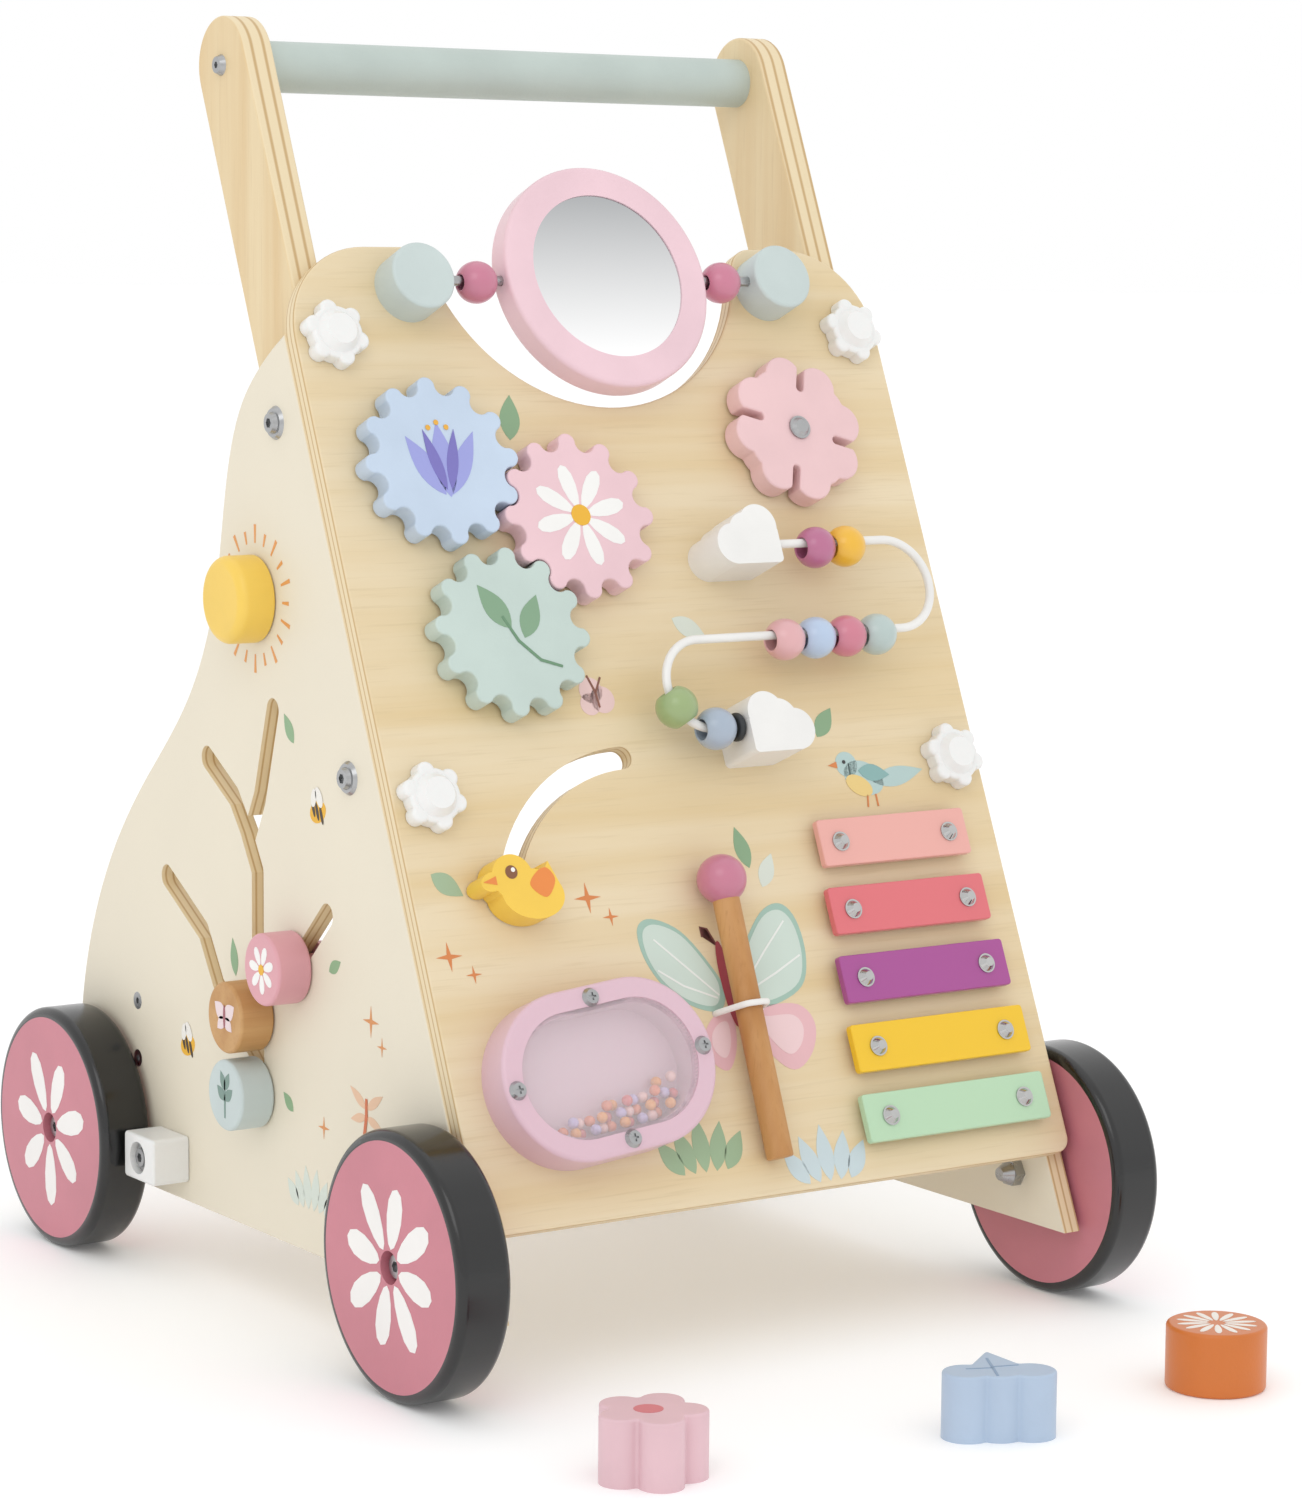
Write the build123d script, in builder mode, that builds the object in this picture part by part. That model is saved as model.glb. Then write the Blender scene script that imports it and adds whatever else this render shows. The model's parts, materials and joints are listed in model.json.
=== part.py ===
# Wooden baby walker with an activity board: the whole assembly, one STEP file for each sub-part.
# Frame: X to the right seen from the front, Y to the back, Z up. The origin is on the floor,
# half way between the four wheels. Millimetres.
from build123d import *
from math import atan2, cos, degrees, hypot, radians, sin, sqrt
import os

# ---------- driving dimensions ----------
# leaning activity board
lean = 23.08                        # degrees from the vertical
board_foot_y = -190.2               # where the board's face, carried down, meets the floor
board_half = 136.8
board_low, board_high = 67.8, 451.3  # measured up the slope
board_t = 7.0
bowl_s, bowl_r = 456.9, 73.0        # circular bite in the top edge, for the mirror

# side panels and handle
panel_face = 137.5                  # outer face of each side panel, from the centre line
panel_t = 8.3
panel_low_s, panel_top_s = 36.6, 418.0
arm_t, arm_w = 13.0, 38.0
arm_low_s, grip_s = 228.0, 537.7    # centres of the arm's two rounded ends, up the slope
grip_r = 10.0
rail_y, rail_z, rail_t, rail_h = 105.0, 94.7, 18.0, 44.0

# wheels
wheel_y, wheel_z = 139.1, 50.0
tyre_r, disc_r = 50.0, 46.0
wheel_in, wheel_w = 139.6, 21.8
axle_r = 3.0

# fits
run = 0.05                          # radial clearance of a pin that turns in a hole
gap = 0.3                           # air between faces that slide past each other

# activities on the board: x across, s up the slope, h out of the board
rod_s, rod_h, rod_r = 433.3, 9.0, 2.0
post_x, post_r, post_h = 84.3, 13.5, 15.5
mirror_r, mirror_t, glass_r, glass_t = 46.4, 12.0, 34.0, 2.0
bead_r, bead_hole_r = 8.25, 4.0
rod_bead_x, rod_bead_hole_r = 57.5, 2.9
teeth, tooth_pitch_r, tooth_tip_r, tooth_root_r = 12, 30.4, 33.6, 26.9
gear_blue_at = (-90.4, 360.0)
gear_pink_at = (-34.5, 336.1)
blue_tooth_angle = 1.0
toy_low, toy_high = 1.5, 10.5       # back and front of the gears and the flower
pin_r = 4.0
flower_at, petal_angle = (78.4, 369.7), 27.5
wire_r, wire_h = 1.75, 15.0
wire_top_s, wire_mid_s, wire_low_s = 319.6, 282.4, 246.4
wire_right_x, wire_left_x = 102.4, 2.5
cloud_h = 22.0
cloud_flat = (47.5, 13.7)           # the flat sides that the wire goes into
cloud_floor = (310.0, 234.0)
duck_centre, duck_track_r = (-31.4, 175.0), 66.6
duck_angle = 163.6
duck_slot_w, duck_h = 9.0, 12.0
box_at, box_turn = (-77.8, 121.0), 5.6
box_half, box_r, box_h = 14.6, 31.9, 16.0
window_r, window_t = 22.5, 2.0
bar_x, bar_low_s, bar_pitch = 82.0, 90.7, 27.27
bar_long, bar_step, bar_w = 88.8, 4.15, 18.8
bar_low, bar_high = 3.0, 6.0
nail_share = 0.37                   # nail distance from the bar's middle, as a share of its length
knob_x, knob_s = 121.6, (413.8, 231.2)
knob_r, knob_valley, knob_lobes = 13.4, 10.8, 6

# activities on the left side panel: y, z
sun_at, sun_r, sun_t = (3.1, 280.0), 17.0, 15.0
slot_w, cap_r, cap_t, shank_r = 9.5, 14.0, 14.5, 4.45
trunk_y = 2.0
cap_at = {"daisy": (-27.8, 141.0), "butterfly": (trunk_y, 117.6), "sprig": (trunk_y, 87.0)}
daisy_tip = (-52.0, 164.0)
branches = [
    [(trunk_y, 78.0), (trunk_y, 174.0), (12, 190), (21, 201), (43, 214)],
    [(9, 186), (0, 203), (-10.5, 238)],
    [(trunk_y, 100.0), (34, 124), (47, 144), (78, 162)],
    [(trunk_y, 122.0), cap_at["daisy"], daisy_tip],
]

# shape-sorter pieces and their holes in the right side panel
piece_h, piece_gap = 24.0, 0.8
round_r = 18.6
lobe_r, lobe_at, flower_lobes = 8.0, 12.0, 5
round_hole, flower_hole, leaf_hole = (62.0, 150.0), (-72.0, 105.0), (-4.0, 105.0)
round_on_floor, flower_on_floor, leaf_on_floor = (106.6, -283.8), (-131.7, -263.8), (0.8, -286.3)

os.makedirs("parts", exist_ok=True)

# ---------- planes and small helpers ----------
board = Plane(origin=(0, board_foot_y, 0), x_dir=(1, 0, 0),
              z_dir=(0, -cos(radians(lean)), sin(radians(lean))))
outward = Axis((0, board_foot_y, 0), board.z_dir)
arm_mid_h = -board_t - arm_w / 2
panel_in = panel_face - panel_t
arm_in = panel_in - arm_t
grip_half = arm_in


def on_board(x, s, h):
    # the place x across, s up and h out of the board
    return board.from_local_coords((x, s, h))


def side_point(s, h):
    # the same place seen from the side, as (y, z)
    place = on_board(0, s, h)
    return (place.Y, place.Z)


def across(y, z, x, side):
    # a plane square to X, looking away from the walker on the given side
    return Plane(origin=(side * x, y, z), x_dir=(0, 1, 0), z_dir=(side, 0, 0))


def save(piece, name):
    piece.part.label = name
    export_step(piece.part, f"parts/{name}.step")


def run_of_slot(a, b, width, mode=Mode.SUBTRACT):
    with Locations(((a[0] + b[0]) / 2, (a[1] + b[1]) / 2)):
        SlotCenterToCenter(hypot(b[0] - a[0], b[1] - a[1]), width,
                           rotation=degrees(atan2(b[1] - a[1], b[0] - a[0])), mode=mode)


def polar(centre, r, angle):
    return (centre[0] + r * cos(radians(angle)), centre[1] + r * sin(radians(angle)))


gear_green_at = polar(gear_pink_at, hypot(gear_blue_at[0] - gear_pink_at[0],
                                          gear_blue_at[1] - gear_pink_at[1]), -132.4)
gears_at = [gear_blue_at, gear_pink_at, gear_green_at]
arm_bolts_at = [side_point(389.6, arm_mid_h), side_point(248.4, arm_mid_h)]
bar_rows = [(bar_low_s + row * bar_pitch, bar_long - row * bar_step) for row in range(5)]
nails_at = [(bar_x + side * nail_share * length, s) for s, length in bar_rows for side in (-1, 1)]
box_screws_at = [polar(box_at, r, box_turn + 90 * k)
                 for k, r in enumerate((box_half + 27.2, 27.0, box_half + 27.2, 27.0))]
duck_track = CenterArc(duck_centre, duck_track_r, 91.5, duck_angle + 2 - 91.5)
wheel_places = {"front_left": (-1, -wheel_y), "front_right": (1, -wheel_y),
                "rear_left": (-1, wheel_y), "rear_right": (1, wheel_y)}
brake_y, brake_z, brake_t, brake_recess = 74.2, 48.5, 15.9, 4.2
loop_at = (-6.6, 139.0)             # where the elastic loop crosses the mallet
loop_holes = 10.0                   # each hole's distance from the mallet's middle


# ---------- wooden frame ----------
def make_front_board():
    with BuildPart() as front:
        with BuildSketch(board) as outline:
            with Locations((0, (board_low + board_high) / 2)):
                Rectangle(2 * board_half, board_high - board_low)
            fillet(outline.vertices().group_by(Axis.Y)[-1], 38)
            fillet(outline.vertices().group_by(Axis.Y)[0], 6)
            with Locations((0, bowl_s)):
                Circle(bowl_r, mode=Mode.SUBTRACT)
            horns = outline.vertices().filter_by(lambda v: abs(v.X) < bowl_r and v.Y > board_high - 0.1)
            fillet(horns, 11)
            SlotArc(duck_track, duck_slot_w, mode=Mode.SUBTRACT)
            with Locations(*gears_at, flower_at):
                Circle(pin_r, mode=Mode.SUBTRACT)
            with Locations(*[(side * knob_x, s) for side in (-1, 1) for s in knob_s]):
                Circle(2.6, mode=Mode.SUBTRACT)
            with Locations(*nails_at):
                Circle(1.5, mode=Mode.SUBTRACT)
            with Locations(*box_screws_at):
                Circle(1.5, mode=Mode.SUBTRACT)
            with Locations(*[(loop_at[0] + side * loop_holes, loop_at[1]) for side in (-1, 1)]):
                Circle(1.4, mode=Mode.SUBTRACT)
        extrude(amount=-board_t)
        fillet(front.faces().sort_by(outward)[-1].outer_wire().edges(), 1.0)
    save(front, "front_board")


def panel_outline():
    # the wavy side of the walker: straight along the board, bulging down to the rear wheel
    toe = side_point(panel_low_s, -board_t)
    crest = side_point(panel_top_s, -board_t)
    low = toe[1]
    with BuildLine() as edge:
        Line(toe, crest)
        Spline(crest, (-2.7, 370.8), (13.7, 355.2), (27.5, 321.5), (36.0, 282.0), (56.4, 240.4),
               (98.2, 198.4), (127.2, 165.9), (151.5, 118.2), (158.5, 80.0))
        Line((158.5, 80.0), (158.5, low + 18))
        RadiusArc((158.5, low + 18), (140.5, low), 18)
        Line((140.5, low), toe)
    return edge


def leaf_outline(grow=0.0):
    # a round lobe each side, one between them, and a point
    with Locations((-11.5, -5), (11.5, -5), (0, -5)):
        Circle(9.0 + grow)
    Polygon((-10.5 - grow, 0), (10.5 + grow, 0), (0, 21 + 1.6 * grow))


def flower_outline(grow=0.0):
    Circle(lobe_at)
    with PolarLocations(lobe_at, flower_lobes, start_angle=90):
        Circle(lobe_r + grow)


def make_side_panel(side):
    name = "side_panel_left" if side < 0 else "side_panel_right"
    inner = panel_in if side > 0 else -panel_face
    with BuildPart() as panel:
        with BuildSketch(Plane.YZ.offset(inner)) as shape:
            add(panel_outline().line)
            make_face()
            with Locations(*arm_bolts_at, (-wheel_y, wheel_z), (wheel_y, wheel_z), (brake_y, brake_z)):
                Circle(axle_r, mode=Mode.SUBTRACT)
            with Locations((rail_y, rail_z - 12), (rail_y, rail_z + 12)):
                Circle(2.0, mode=Mode.SUBTRACT)
            if side < 0:
                for branch in branches:
                    for a, b in zip(branch, branch[1:]):
                        run_of_slot(a, b, slot_w)
                with Locations(sun_at):
                    Circle(pin_r, mode=Mode.SUBTRACT)
            else:
                with Locations(round_hole):
                    Circle(round_r + piece_gap, mode=Mode.SUBTRACT)
        extrude(amount=panel_t)
        if side > 0:
            with BuildSketch(Plane.YZ.offset(inner)):
                with Locations(flower_hole):
                    add(flower_cut)
            extrude(amount=panel_t, mode=Mode.SUBTRACT)
            with BuildSketch(Plane.YZ.offset(inner)):
                with Locations(leaf_hole):
                    add(leaf_cut)
            extrude(amount=panel_t, mode=Mode.SUBTRACT)
        face = panel.faces().sort_by(Axis.X)[0 if side < 0 else -1]
        fillet(face.outer_wire().edges(), 1.0)
        # countersinks for the rail's screws
        for step in (-12, 12):
            with Locations(across(rail_y, rail_z + step, panel_face, side)):
                CounterSinkHole(radius=2.0, counter_sink_radius=3.6, depth=panel_t)
    save(panel, name)


def make_handle_arm(side):
    name = "handle_arm_left" if side < 0 else "handle_arm_right"
    low, top = side_point(arm_low_s, arm_mid_h), side_point(grip_s, arm_mid_h)
    start = arm_in if side > 0 else -panel_in
    with BuildPart() as arm:
        with BuildSketch(Plane.YZ.offset(start)):
            run_of_slot(low, top, arm_w, Mode.ADD)
            with Locations(*arm_bolts_at):
                Circle(axle_r, mode=Mode.SUBTRACT)
            with Locations(top):
                Circle(2.0, mode=Mode.SUBTRACT)
        extrude(amount=arm_t)
        fillet(arm.faces().sort_by(Axis.X)[0].outer_wire().edges(), 1.2)
        fillet(arm.faces().sort_by(Axis.X)[-1].outer_wire().edges(), 1.2)
        # sockets for the star knobs' studs, in the front edge
        with BuildSketch(board.offset(-board_t)):
            with Locations(*[(side * knob_x, s) for s in knob_s]):
                Circle(2.6)
        extrude(amount=-20, mode=Mode.SUBTRACT)
    save(arm, name)


def make_handle_bar():
    y, z = side_point(grip_s, arm_mid_h)
    with BuildPart() as bar:
        with BuildSketch(Plane.YZ.offset(-grip_half)):
            with Locations((y, z)):
                Circle(grip_r)
        extrude(amount=2 * grip_half)
        with BuildSketch(Plane.YZ.offset(-grip_half)):
            with Locations((y, z)):
                Circle(2.0)
        extrude(amount=24, mode=Mode.SUBTRACT)
        with BuildSketch(Plane.YZ.offset(grip_half)):
            with Locations((y, z)):
                Circle(2.0)
        extrude(amount=-24, mode=Mode.SUBTRACT)
    save(bar, "handle_bar")


def make_rear_rail():
    with BuildPart() as rail:
        with BuildSketch(Plane.YZ.offset(-panel_in)):
            with Locations((rail_y, rail_z)):
                RectangleRounded(rail_t, rail_h, 2)
        extrude(amount=2 * panel_in)
        for side in (-1, 1):
            with BuildSketch(Plane.YZ.offset(side * panel_in)):
                with Locations((rail_y, rail_z - 12), (rail_y, rail_z + 12)):
                    Circle(2.0)
            extrude(amount=-side * 26, mode=Mode.SUBTRACT)
    save(rail, "rear_rail")


# ---------- fasteners ----------
def make_wood_screws():
    # two pan heads on the handle, four countersunk heads on the rail, four domed heads on the bead box
    y, z = side_point(grip_s, arm_mid_h)
    sockets = []
    with BuildPart() as screws:
        for side in (-1, 1):
            with BuildSketch(across(y, z, panel_in, side)):
                Circle(4.2)
            extrude(amount=2.2, taper=25)
            with BuildSketch(across(y, z, panel_in, side)):
                Circle(2.0)
            extrude(amount=-36)
            sockets.append(across(y, z, panel_in + 2.2, side))
            for step in (-12, 12):
                at = across(rail_y, rail_z + step, panel_face, side)
                with BuildSketch(at):
                    Circle(3.6)
                with BuildSketch(at.offset(-1.6)):
                    Circle(2.0)
                loft()
                with BuildSketch(at.offset(-1.6)):
                    Circle(2.0)
                extrude(amount=-32)
                sockets.append(at)
        with BuildSketch(*sockets):
            RegularPolygon(1.4, 6)
        extrude(amount=-1.2, mode=Mode.SUBTRACT)
        with BuildSketch(board.offset(box_h)):
            with Locations(*box_screws_at):
                Circle(3.6)
        extrude(amount=1.6, taper=30)
        with BuildSketch(board.offset(box_h)):
            with Locations(*box_screws_at):
                Circle(1.5)
        extrude(amount=-box_h - board_t + 0.8)
        with BuildSketch(board.offset(box_h + 1.6)):
            with Locations(*box_screws_at):
                Rectangle(3.0, 0.8)
                Rectangle(0.8, 3.0)
        extrude(amount=-0.9, mode=Mode.SUBTRACT)
    save(screws, "wood_screws")


def make_panel_bolts():
    # on each side two bolts through panel and arm, and the one that the brake block turns on;
    # each has a cup washer, a low head, a shank and a nut inside
    length = panel_t + arm_t
    sockets = []
    with BuildPart() as bolts:
        for side in (-1, 1):
            for y, z in arm_bolts_at:
                outer = across(y, z, panel_face, side)
                inner = across(y, z, arm_in, side)
                with BuildSketch(outer):
                    Circle(6.5)
                extrude(amount=1.4, taper=35)
                with BuildSketch(outer.offset(1.4)):
                    Circle(4.3)
                extrude(amount=1.8, taper=20)
                sockets.append(outer.offset(3.2))
                with BuildSketch(outer):
                    Circle(axle_r)
                extrude(amount=-length)
                with BuildSketch(inner):
                    RegularPolygon(5.6, 6)
                extrude(amount=-4.0)
                with BuildSketch(inner.offset(-4.0)):
                    Circle(4.4)
                extrude(amount=-3.5, taper=25)
            seat = across(brake_y, brake_z, panel_face + brake_t + 2 * gap - brake_recess, side)
            with BuildSketch(seat):
                Circle(6.2)
            extrude(amount=1.4, taper=20)
            with BuildSketch(seat.offset(1.4)):
                Circle(4.2)
            extrude(amount=1.6, taper=20)
            sockets.append(seat.offset(3.0))
            with BuildSketch(seat):
                Circle(axle_r)
            extrude(amount=-(panel_t + brake_t + 2 * gap - brake_recess))
            inner = across(brake_y, brake_z, panel_in, side)
            with BuildSketch(inner):
                RegularPolygon(5.6, 6)
            extrude(amount=-4.5)
        with BuildSketch(*sockets):
            RegularPolygon(2.0, 6)
        extrude(amount=-1.8, mode=Mode.SUBTRACT)
    save(bolts, "panel_bolts")


def make_star_knobs():
    with BuildPart() as knobs:
        for side in (-1, 1):
            for s in knob_s:
                base = board.offset(gap)
                with BuildSketch(base) as star:
                    with Locations((side * knob_x, s)):
                        Circle(knob_valley)
                    with Locations((side * knob_x, s)):
                        with PolarLocations(knob_r - 3.6, knob_lobes, start_angle=100):
                            Circle(3.6)
                extrude(amount=6.5)
                with BuildSketch(base.offset(6.5)):
                    with Locations((side * knob_x, s)):
                        Circle(8.6)
                extrude(amount=3.2, taper=38)
                with BuildSketch(base):
                    with Locations((side * knob_x, s)):
                        Circle(2.55)
                extrude(amount=-gap - board_t - 19)
        tips = knobs.faces().filter_by(GeomType.PLANE).filter_by(
            lambda f: abs(board.to_local_coords(f.center()).Z - gap - 6.5) < 0.01)
        fillet([e for f in tips for e in f.outer_wire().edges()], 1.6)
    save(knobs, "star_knobs")


# ---------- wheels and brakes ----------
def make_wheel(place, side, y):
    face = across(y, wheel_z, wheel_in, side)
    with BuildPart() as disc:
        with BuildSketch(face):
            Circle(disc_r)
        extrude(amount=wheel_w)
        with BuildSketch(face):
            Circle(axle_r + run)
        extrude(amount=wheel_w, mode=Mode.SUBTRACT)
        with BuildSketch(face.offset(wheel_w)):
            Circle(6.2)
        extrude(amount=-6.0, mode=Mode.SUBTRACT)
    save(disc, f"wheel_{place}")
    with BuildPart() as tyre:
        with BuildSketch(face):
            Circle(tyre_r)
            Circle(disc_r, mode=Mode.SUBTRACT)
        extrude(amount=wheel_w)
        rims = tyre.edges().filter_by(GeomType.CIRCLE).sort_by(SortBy.RADIUS)[-2:]
        fillet(rims, 3.4)
    save(tyre, f"tyre_{place}")


def make_axle_bolts():
    # bolt head in the hub, washer by the panel, dome nut inside
    sockets = []
    with BuildPart() as bolts:
        for side, y in wheel_places.values():
            hub = across(y, wheel_z, wheel_in + wheel_w - 6.0, side)
            with BuildSketch(hub.offset(gap)):
                Circle(4.9)
            extrude(amount=3.2, taper=12)
            sockets.append(hub.offset(gap + 3.2))
            with BuildSketch(hub.offset(gap)):
                Circle(axle_r)
            extrude(amount=-gap - wheel_w + 6.0 - (wheel_in - panel_in))
            panel_side = across(y, wheel_z, panel_face, side)
            with BuildSketch(panel_side):
                Circle(7.5)
                Circle(axle_r, mode=Mode.SUBTRACT)
            extrude(amount=wheel_in - panel_face - gap)
            inner = across(y, wheel_z, panel_in, side)
            with BuildSketch(inner):
                RegularPolygon(5.6, 6)
            extrude(amount=-4.5)
            with BuildSketch(inner.offset(-4.5)):
                Circle(4.6)
            extrude(amount=-4.5, taper=25)
        with BuildSketch(*sockets):
            RegularPolygon(2.2, 6)
        extrude(amount=-2.0, mode=Mode.SUBTRACT)
    save(bolts, "axle_bolts")


def make_brakes():
    # a plastic block in front of each rear tyre, turned on its bolt until a corner rubs
    for side, hand in ((-1, "left"), (1, "right")):
        face = across(brake_y, brake_z, panel_face + gap, side)
        with BuildPart() as block:
            with BuildSketch(face):
                with Locations((-1.0, 0)):
                    RectangleRounded(25.8, 18.8, 1.8)
                Circle(axle_r + run, mode=Mode.SUBTRACT)
            extrude(amount=brake_t)
            fillet(block.faces().sort_by(Axis.X)[0 if side < 0 else -1].outer_wire().edges(), 1.2)
            with BuildSketch(face.offset(brake_t)):
                Circle(6.6)
            extrude(amount=-brake_recess, mode=Mode.SUBTRACT)
        save(block, f"brake_block_{hand}")


# ---------- mirror ----------
def make_mirror():
    back_h = rod_h - mirror_t / 2
    front_h = back_h + mirror_t
    with BuildPart() as ring:
        with BuildSketch(board.offset(back_h)):
            with Locations((0, rod_s)):
                Circle(mirror_r)
        extrude(amount=mirror_t)
        fillet(ring.faces().sort_by(outward)[-1].outer_wire().edges(), 2.2)
        fillet(ring.faces().sort_by(outward)[0].outer_wire().edges(), 1.5)
        with BuildSketch(board.offset(front_h)):
            with Locations((0, rod_s)):
                Circle(glass_r)
        extrude(amount=-glass_t - 0.6, mode=Mode.SUBTRACT)
        bore = Plane(origin=on_board(-mirror_r, rod_s, rod_h), z_dir=(1, 0, 0))
        with BuildSketch(bore):
            Circle(rod_r + run)
        extrude(amount=2 * mirror_r, mode=Mode.SUBTRACT)
    save(ring, "mirror_ring")
    with BuildPart() as glass:
        with BuildSketch(board.offset(front_h - glass_t - 0.6)):
            with Locations((0, rod_s)):
                Circle(glass_r)
        extrude(amount=glass_t)
    save(glass, "mirror_glass")


def make_mirror_mount():
    reach = post_x - 5.0
    with BuildPart() as rod:
        with BuildSketch(Plane(origin=on_board(-reach, rod_s, rod_h), z_dir=(1, 0, 0))):
            Circle(rod_r)
        extrude(amount=2 * reach)
    save(rod, "mirror_rod")
    with BuildPart() as posts:
        with BuildSketch(board):
            with Locations((-post_x, rod_s), (post_x, rod_s)):
                Circle(post_r)
        extrude(amount=post_h)
        fronts = [f for f in posts.faces().filter_by(GeomType.PLANE)
                  if abs(board.to_local_coords(f.center()).Z - post_h) < 0.01]
        fillet([f.outer_wire().edges() for f in fronts][0] + [f.outer_wire().edges() for f in fronts][1], 1.4)
        with BuildSketch(Plane(origin=on_board(-reach, rod_s, rod_h), z_dir=(1, 0, 0))):
            Circle(rod_r)
        extrude(amount=2 * reach, mode=Mode.SUBTRACT)
    save(posts, "mirror_posts")


# ---------- beads ----------
def make_bead(name, centre, direction, hole_r=bead_hole_r):
    with BuildPart() as bead:
        with Locations(Plane(origin=centre, z_dir=direction).location):
            Sphere(bead_r)
            Cylinder(hole_r, 3 * bead_r, mode=Mode.SUBTRACT)
        fillet(bead.edges().filter_by(GeomType.CIRCLE).sort_by(SortBy.RADIUS)[:2], 0.5)
    save(bead, name)


def hang(x, s, h, drop):
    # a bead hangs on the wire by the top of its hole
    place = on_board(x, s, h)
    return (place.X, place.Y, place.Z - drop)


def make_beads():
    loose = bead_hole_r - wire_r - gap
    for side, hand in ((-1, "left"), (1, "right")):
        drop = rod_bead_hole_r - rod_r - gap
        make_bead(f"rod_bead_{hand}", hang(side * rod_bead_x, rod_s, rod_h, drop), (1, 0, 0), rod_bead_hole_r)
    for name, x in (("plum", 69.6), ("yellow", 84.4)):
        make_bead(f"wire_bead_{name}", hang(x, wire_top_s, wire_h, loose), (1, 0, 0))
    for number, name in enumerate(("blush", "sky", "rose", "sage")):
        make_bead(f"wire_bead_{name}", hang(44.6 + 15.0 * number, wire_mid_s, wire_h, loose), (1, 0, 0))
    bend = (wire_left_x, (wire_mid_s + wire_low_s) / 2)
    x, s = polar(bend, (wire_mid_s - wire_low_s) / 2, 208.0)
    ahead = on_board(-sin(radians(208.0)), cos(radians(208.0)), 0) - on_board(0, 0, 0)
    make_bead("wire_bead_leaf", on_board(x, s, wire_h), ahead)
    make_bead("wire_bead_grey", on_board(2.2, wire_low_s, wire_h), (1, 0, 0))
    with BuildPart() as ring:
        with BuildSketch(Plane(origin=on_board(10.3, wire_low_s, wire_h), z_dir=(1, 0, 0))):
            Circle(5.6)
            Circle(wire_r, mode=Mode.SUBTRACT)
        extrude(amount=3.1)
        fillet(ring.edges().filter_by(GeomType.CIRCLE).sort_by(SortBy.RADIUS)[-2:], 1.4)
    save(ring, "stop_ring")


def make_wire():
    radius_right = (wire_top_s - wire_mid_s) / 2
    radius_left = (wire_mid_s - wire_low_s) / 2
    with BuildPart() as wire:
        with BuildLine(board.offset(wire_h)) as path:
            Line((cloud_flat[0] - 4, wire_top_s), (wire_right_x, wire_top_s))
            CenterArc((wire_right_x, wire_mid_s + radius_right), radius_right, 90, -180)
            Line((wire_right_x, wire_mid_s), (wire_left_x, wire_mid_s))
            CenterArc((wire_left_x, wire_low_s + radius_left), radius_left, 90, 180)
            Line((wire_left_x, wire_low_s), (cloud_flat[1] + 4, wire_low_s))
        with BuildSketch(Plane(origin=on_board(cloud_flat[0] - 4, wire_top_s, wire_h), z_dir=(1, 0, 0))):
            Circle(wire_r)
        sweep(path=path.line)
    save(wire, "bead_wire")


def make_clouds():
    with BuildPart() as clouds:
        for number, (flat, low, side) in enumerate(zip(cloud_flat, cloud_floor, (1, -1))):
            with BuildSketch(board):
                with Locations((flat - side * 8.7, low + 15.6)):
                    Circle(8.6)
                with Locations((flat - side * 21.4, low + 8.4)):
                    Circle(8.3)
                with Locations((flat - side * 14.6, low + 12.6)):
                    Circle(8.4)
                with Locations((flat - side * 12.0, low + 7.5)):
                    RectangleRounded(23.9, 14.9, 2.0)
            extrude(amount=cloud_h)
        for flat, s, side in zip(cloud_flat, (wire_top_s, wire_low_s), (1, -1)):
            with BuildSketch(Plane(origin=on_board(flat, s, wire_h), z_dir=(side, 0, 0))):
                Circle(wire_r)
            extrude(amount=-4, mode=Mode.SUBTRACT)
    save(clouds, "cloud_posts")


# ---------- gears, flower and pins ----------
def gear_outline(centre, angle):
    # round-topped teeth with round valleys between them
    pitch = 360 / teeth
    tip_r = 3.9
    valley_r = 4.3
    with Locations(centre):
        Circle(tooth_pitch_r - 0.6)
    with Locations(centre):
        with PolarLocations(tooth_tip_r - tip_r, teeth, start_angle=angle):
            Circle(tip_r)
        with PolarLocations(tooth_root_r + valley_r, teeth, start_angle=angle + pitch / 2):
            Circle(valley_r, mode=Mode.SUBTRACT)


def make_gears():
    names = ("gear_blue", "gear_pink", "gear_green")
    toward = [degrees(atan2(b[1] - a[1], b[0] - a[0])) for a, b in zip(gears_at, gears_at[1:])]
    pink_angle = toward[0] + 180 + 180 / teeth - (blue_tooth_angle - toward[0])
    green_angle = toward[1] + 180 + 180 / teeth - (pink_angle - toward[1])
    for name, centre, angle in zip(names, gears_at, (blue_tooth_angle, pink_angle, green_angle)):
        with BuildPart() as gear:
            with BuildSketch(board.offset(toy_low)):
                gear_outline(centre, angle)
            extrude(amount=toy_high - toy_low)
            fillet(gear.faces().sort_by(outward)[-1].outer_wire().edges(), 0.9)
            with BuildSketch(board.offset(gap)):
                with Locations(centre):
                    Circle(9)
            extrude(amount=toy_low - gap)
            with BuildSketch(board.offset(gap)):
                with Locations(centre):
                    Circle(pin_r + run)
            extrude(amount=toy_high - gap - 2.6, mode=Mode.SUBTRACT)
        save(gear, name)


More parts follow.
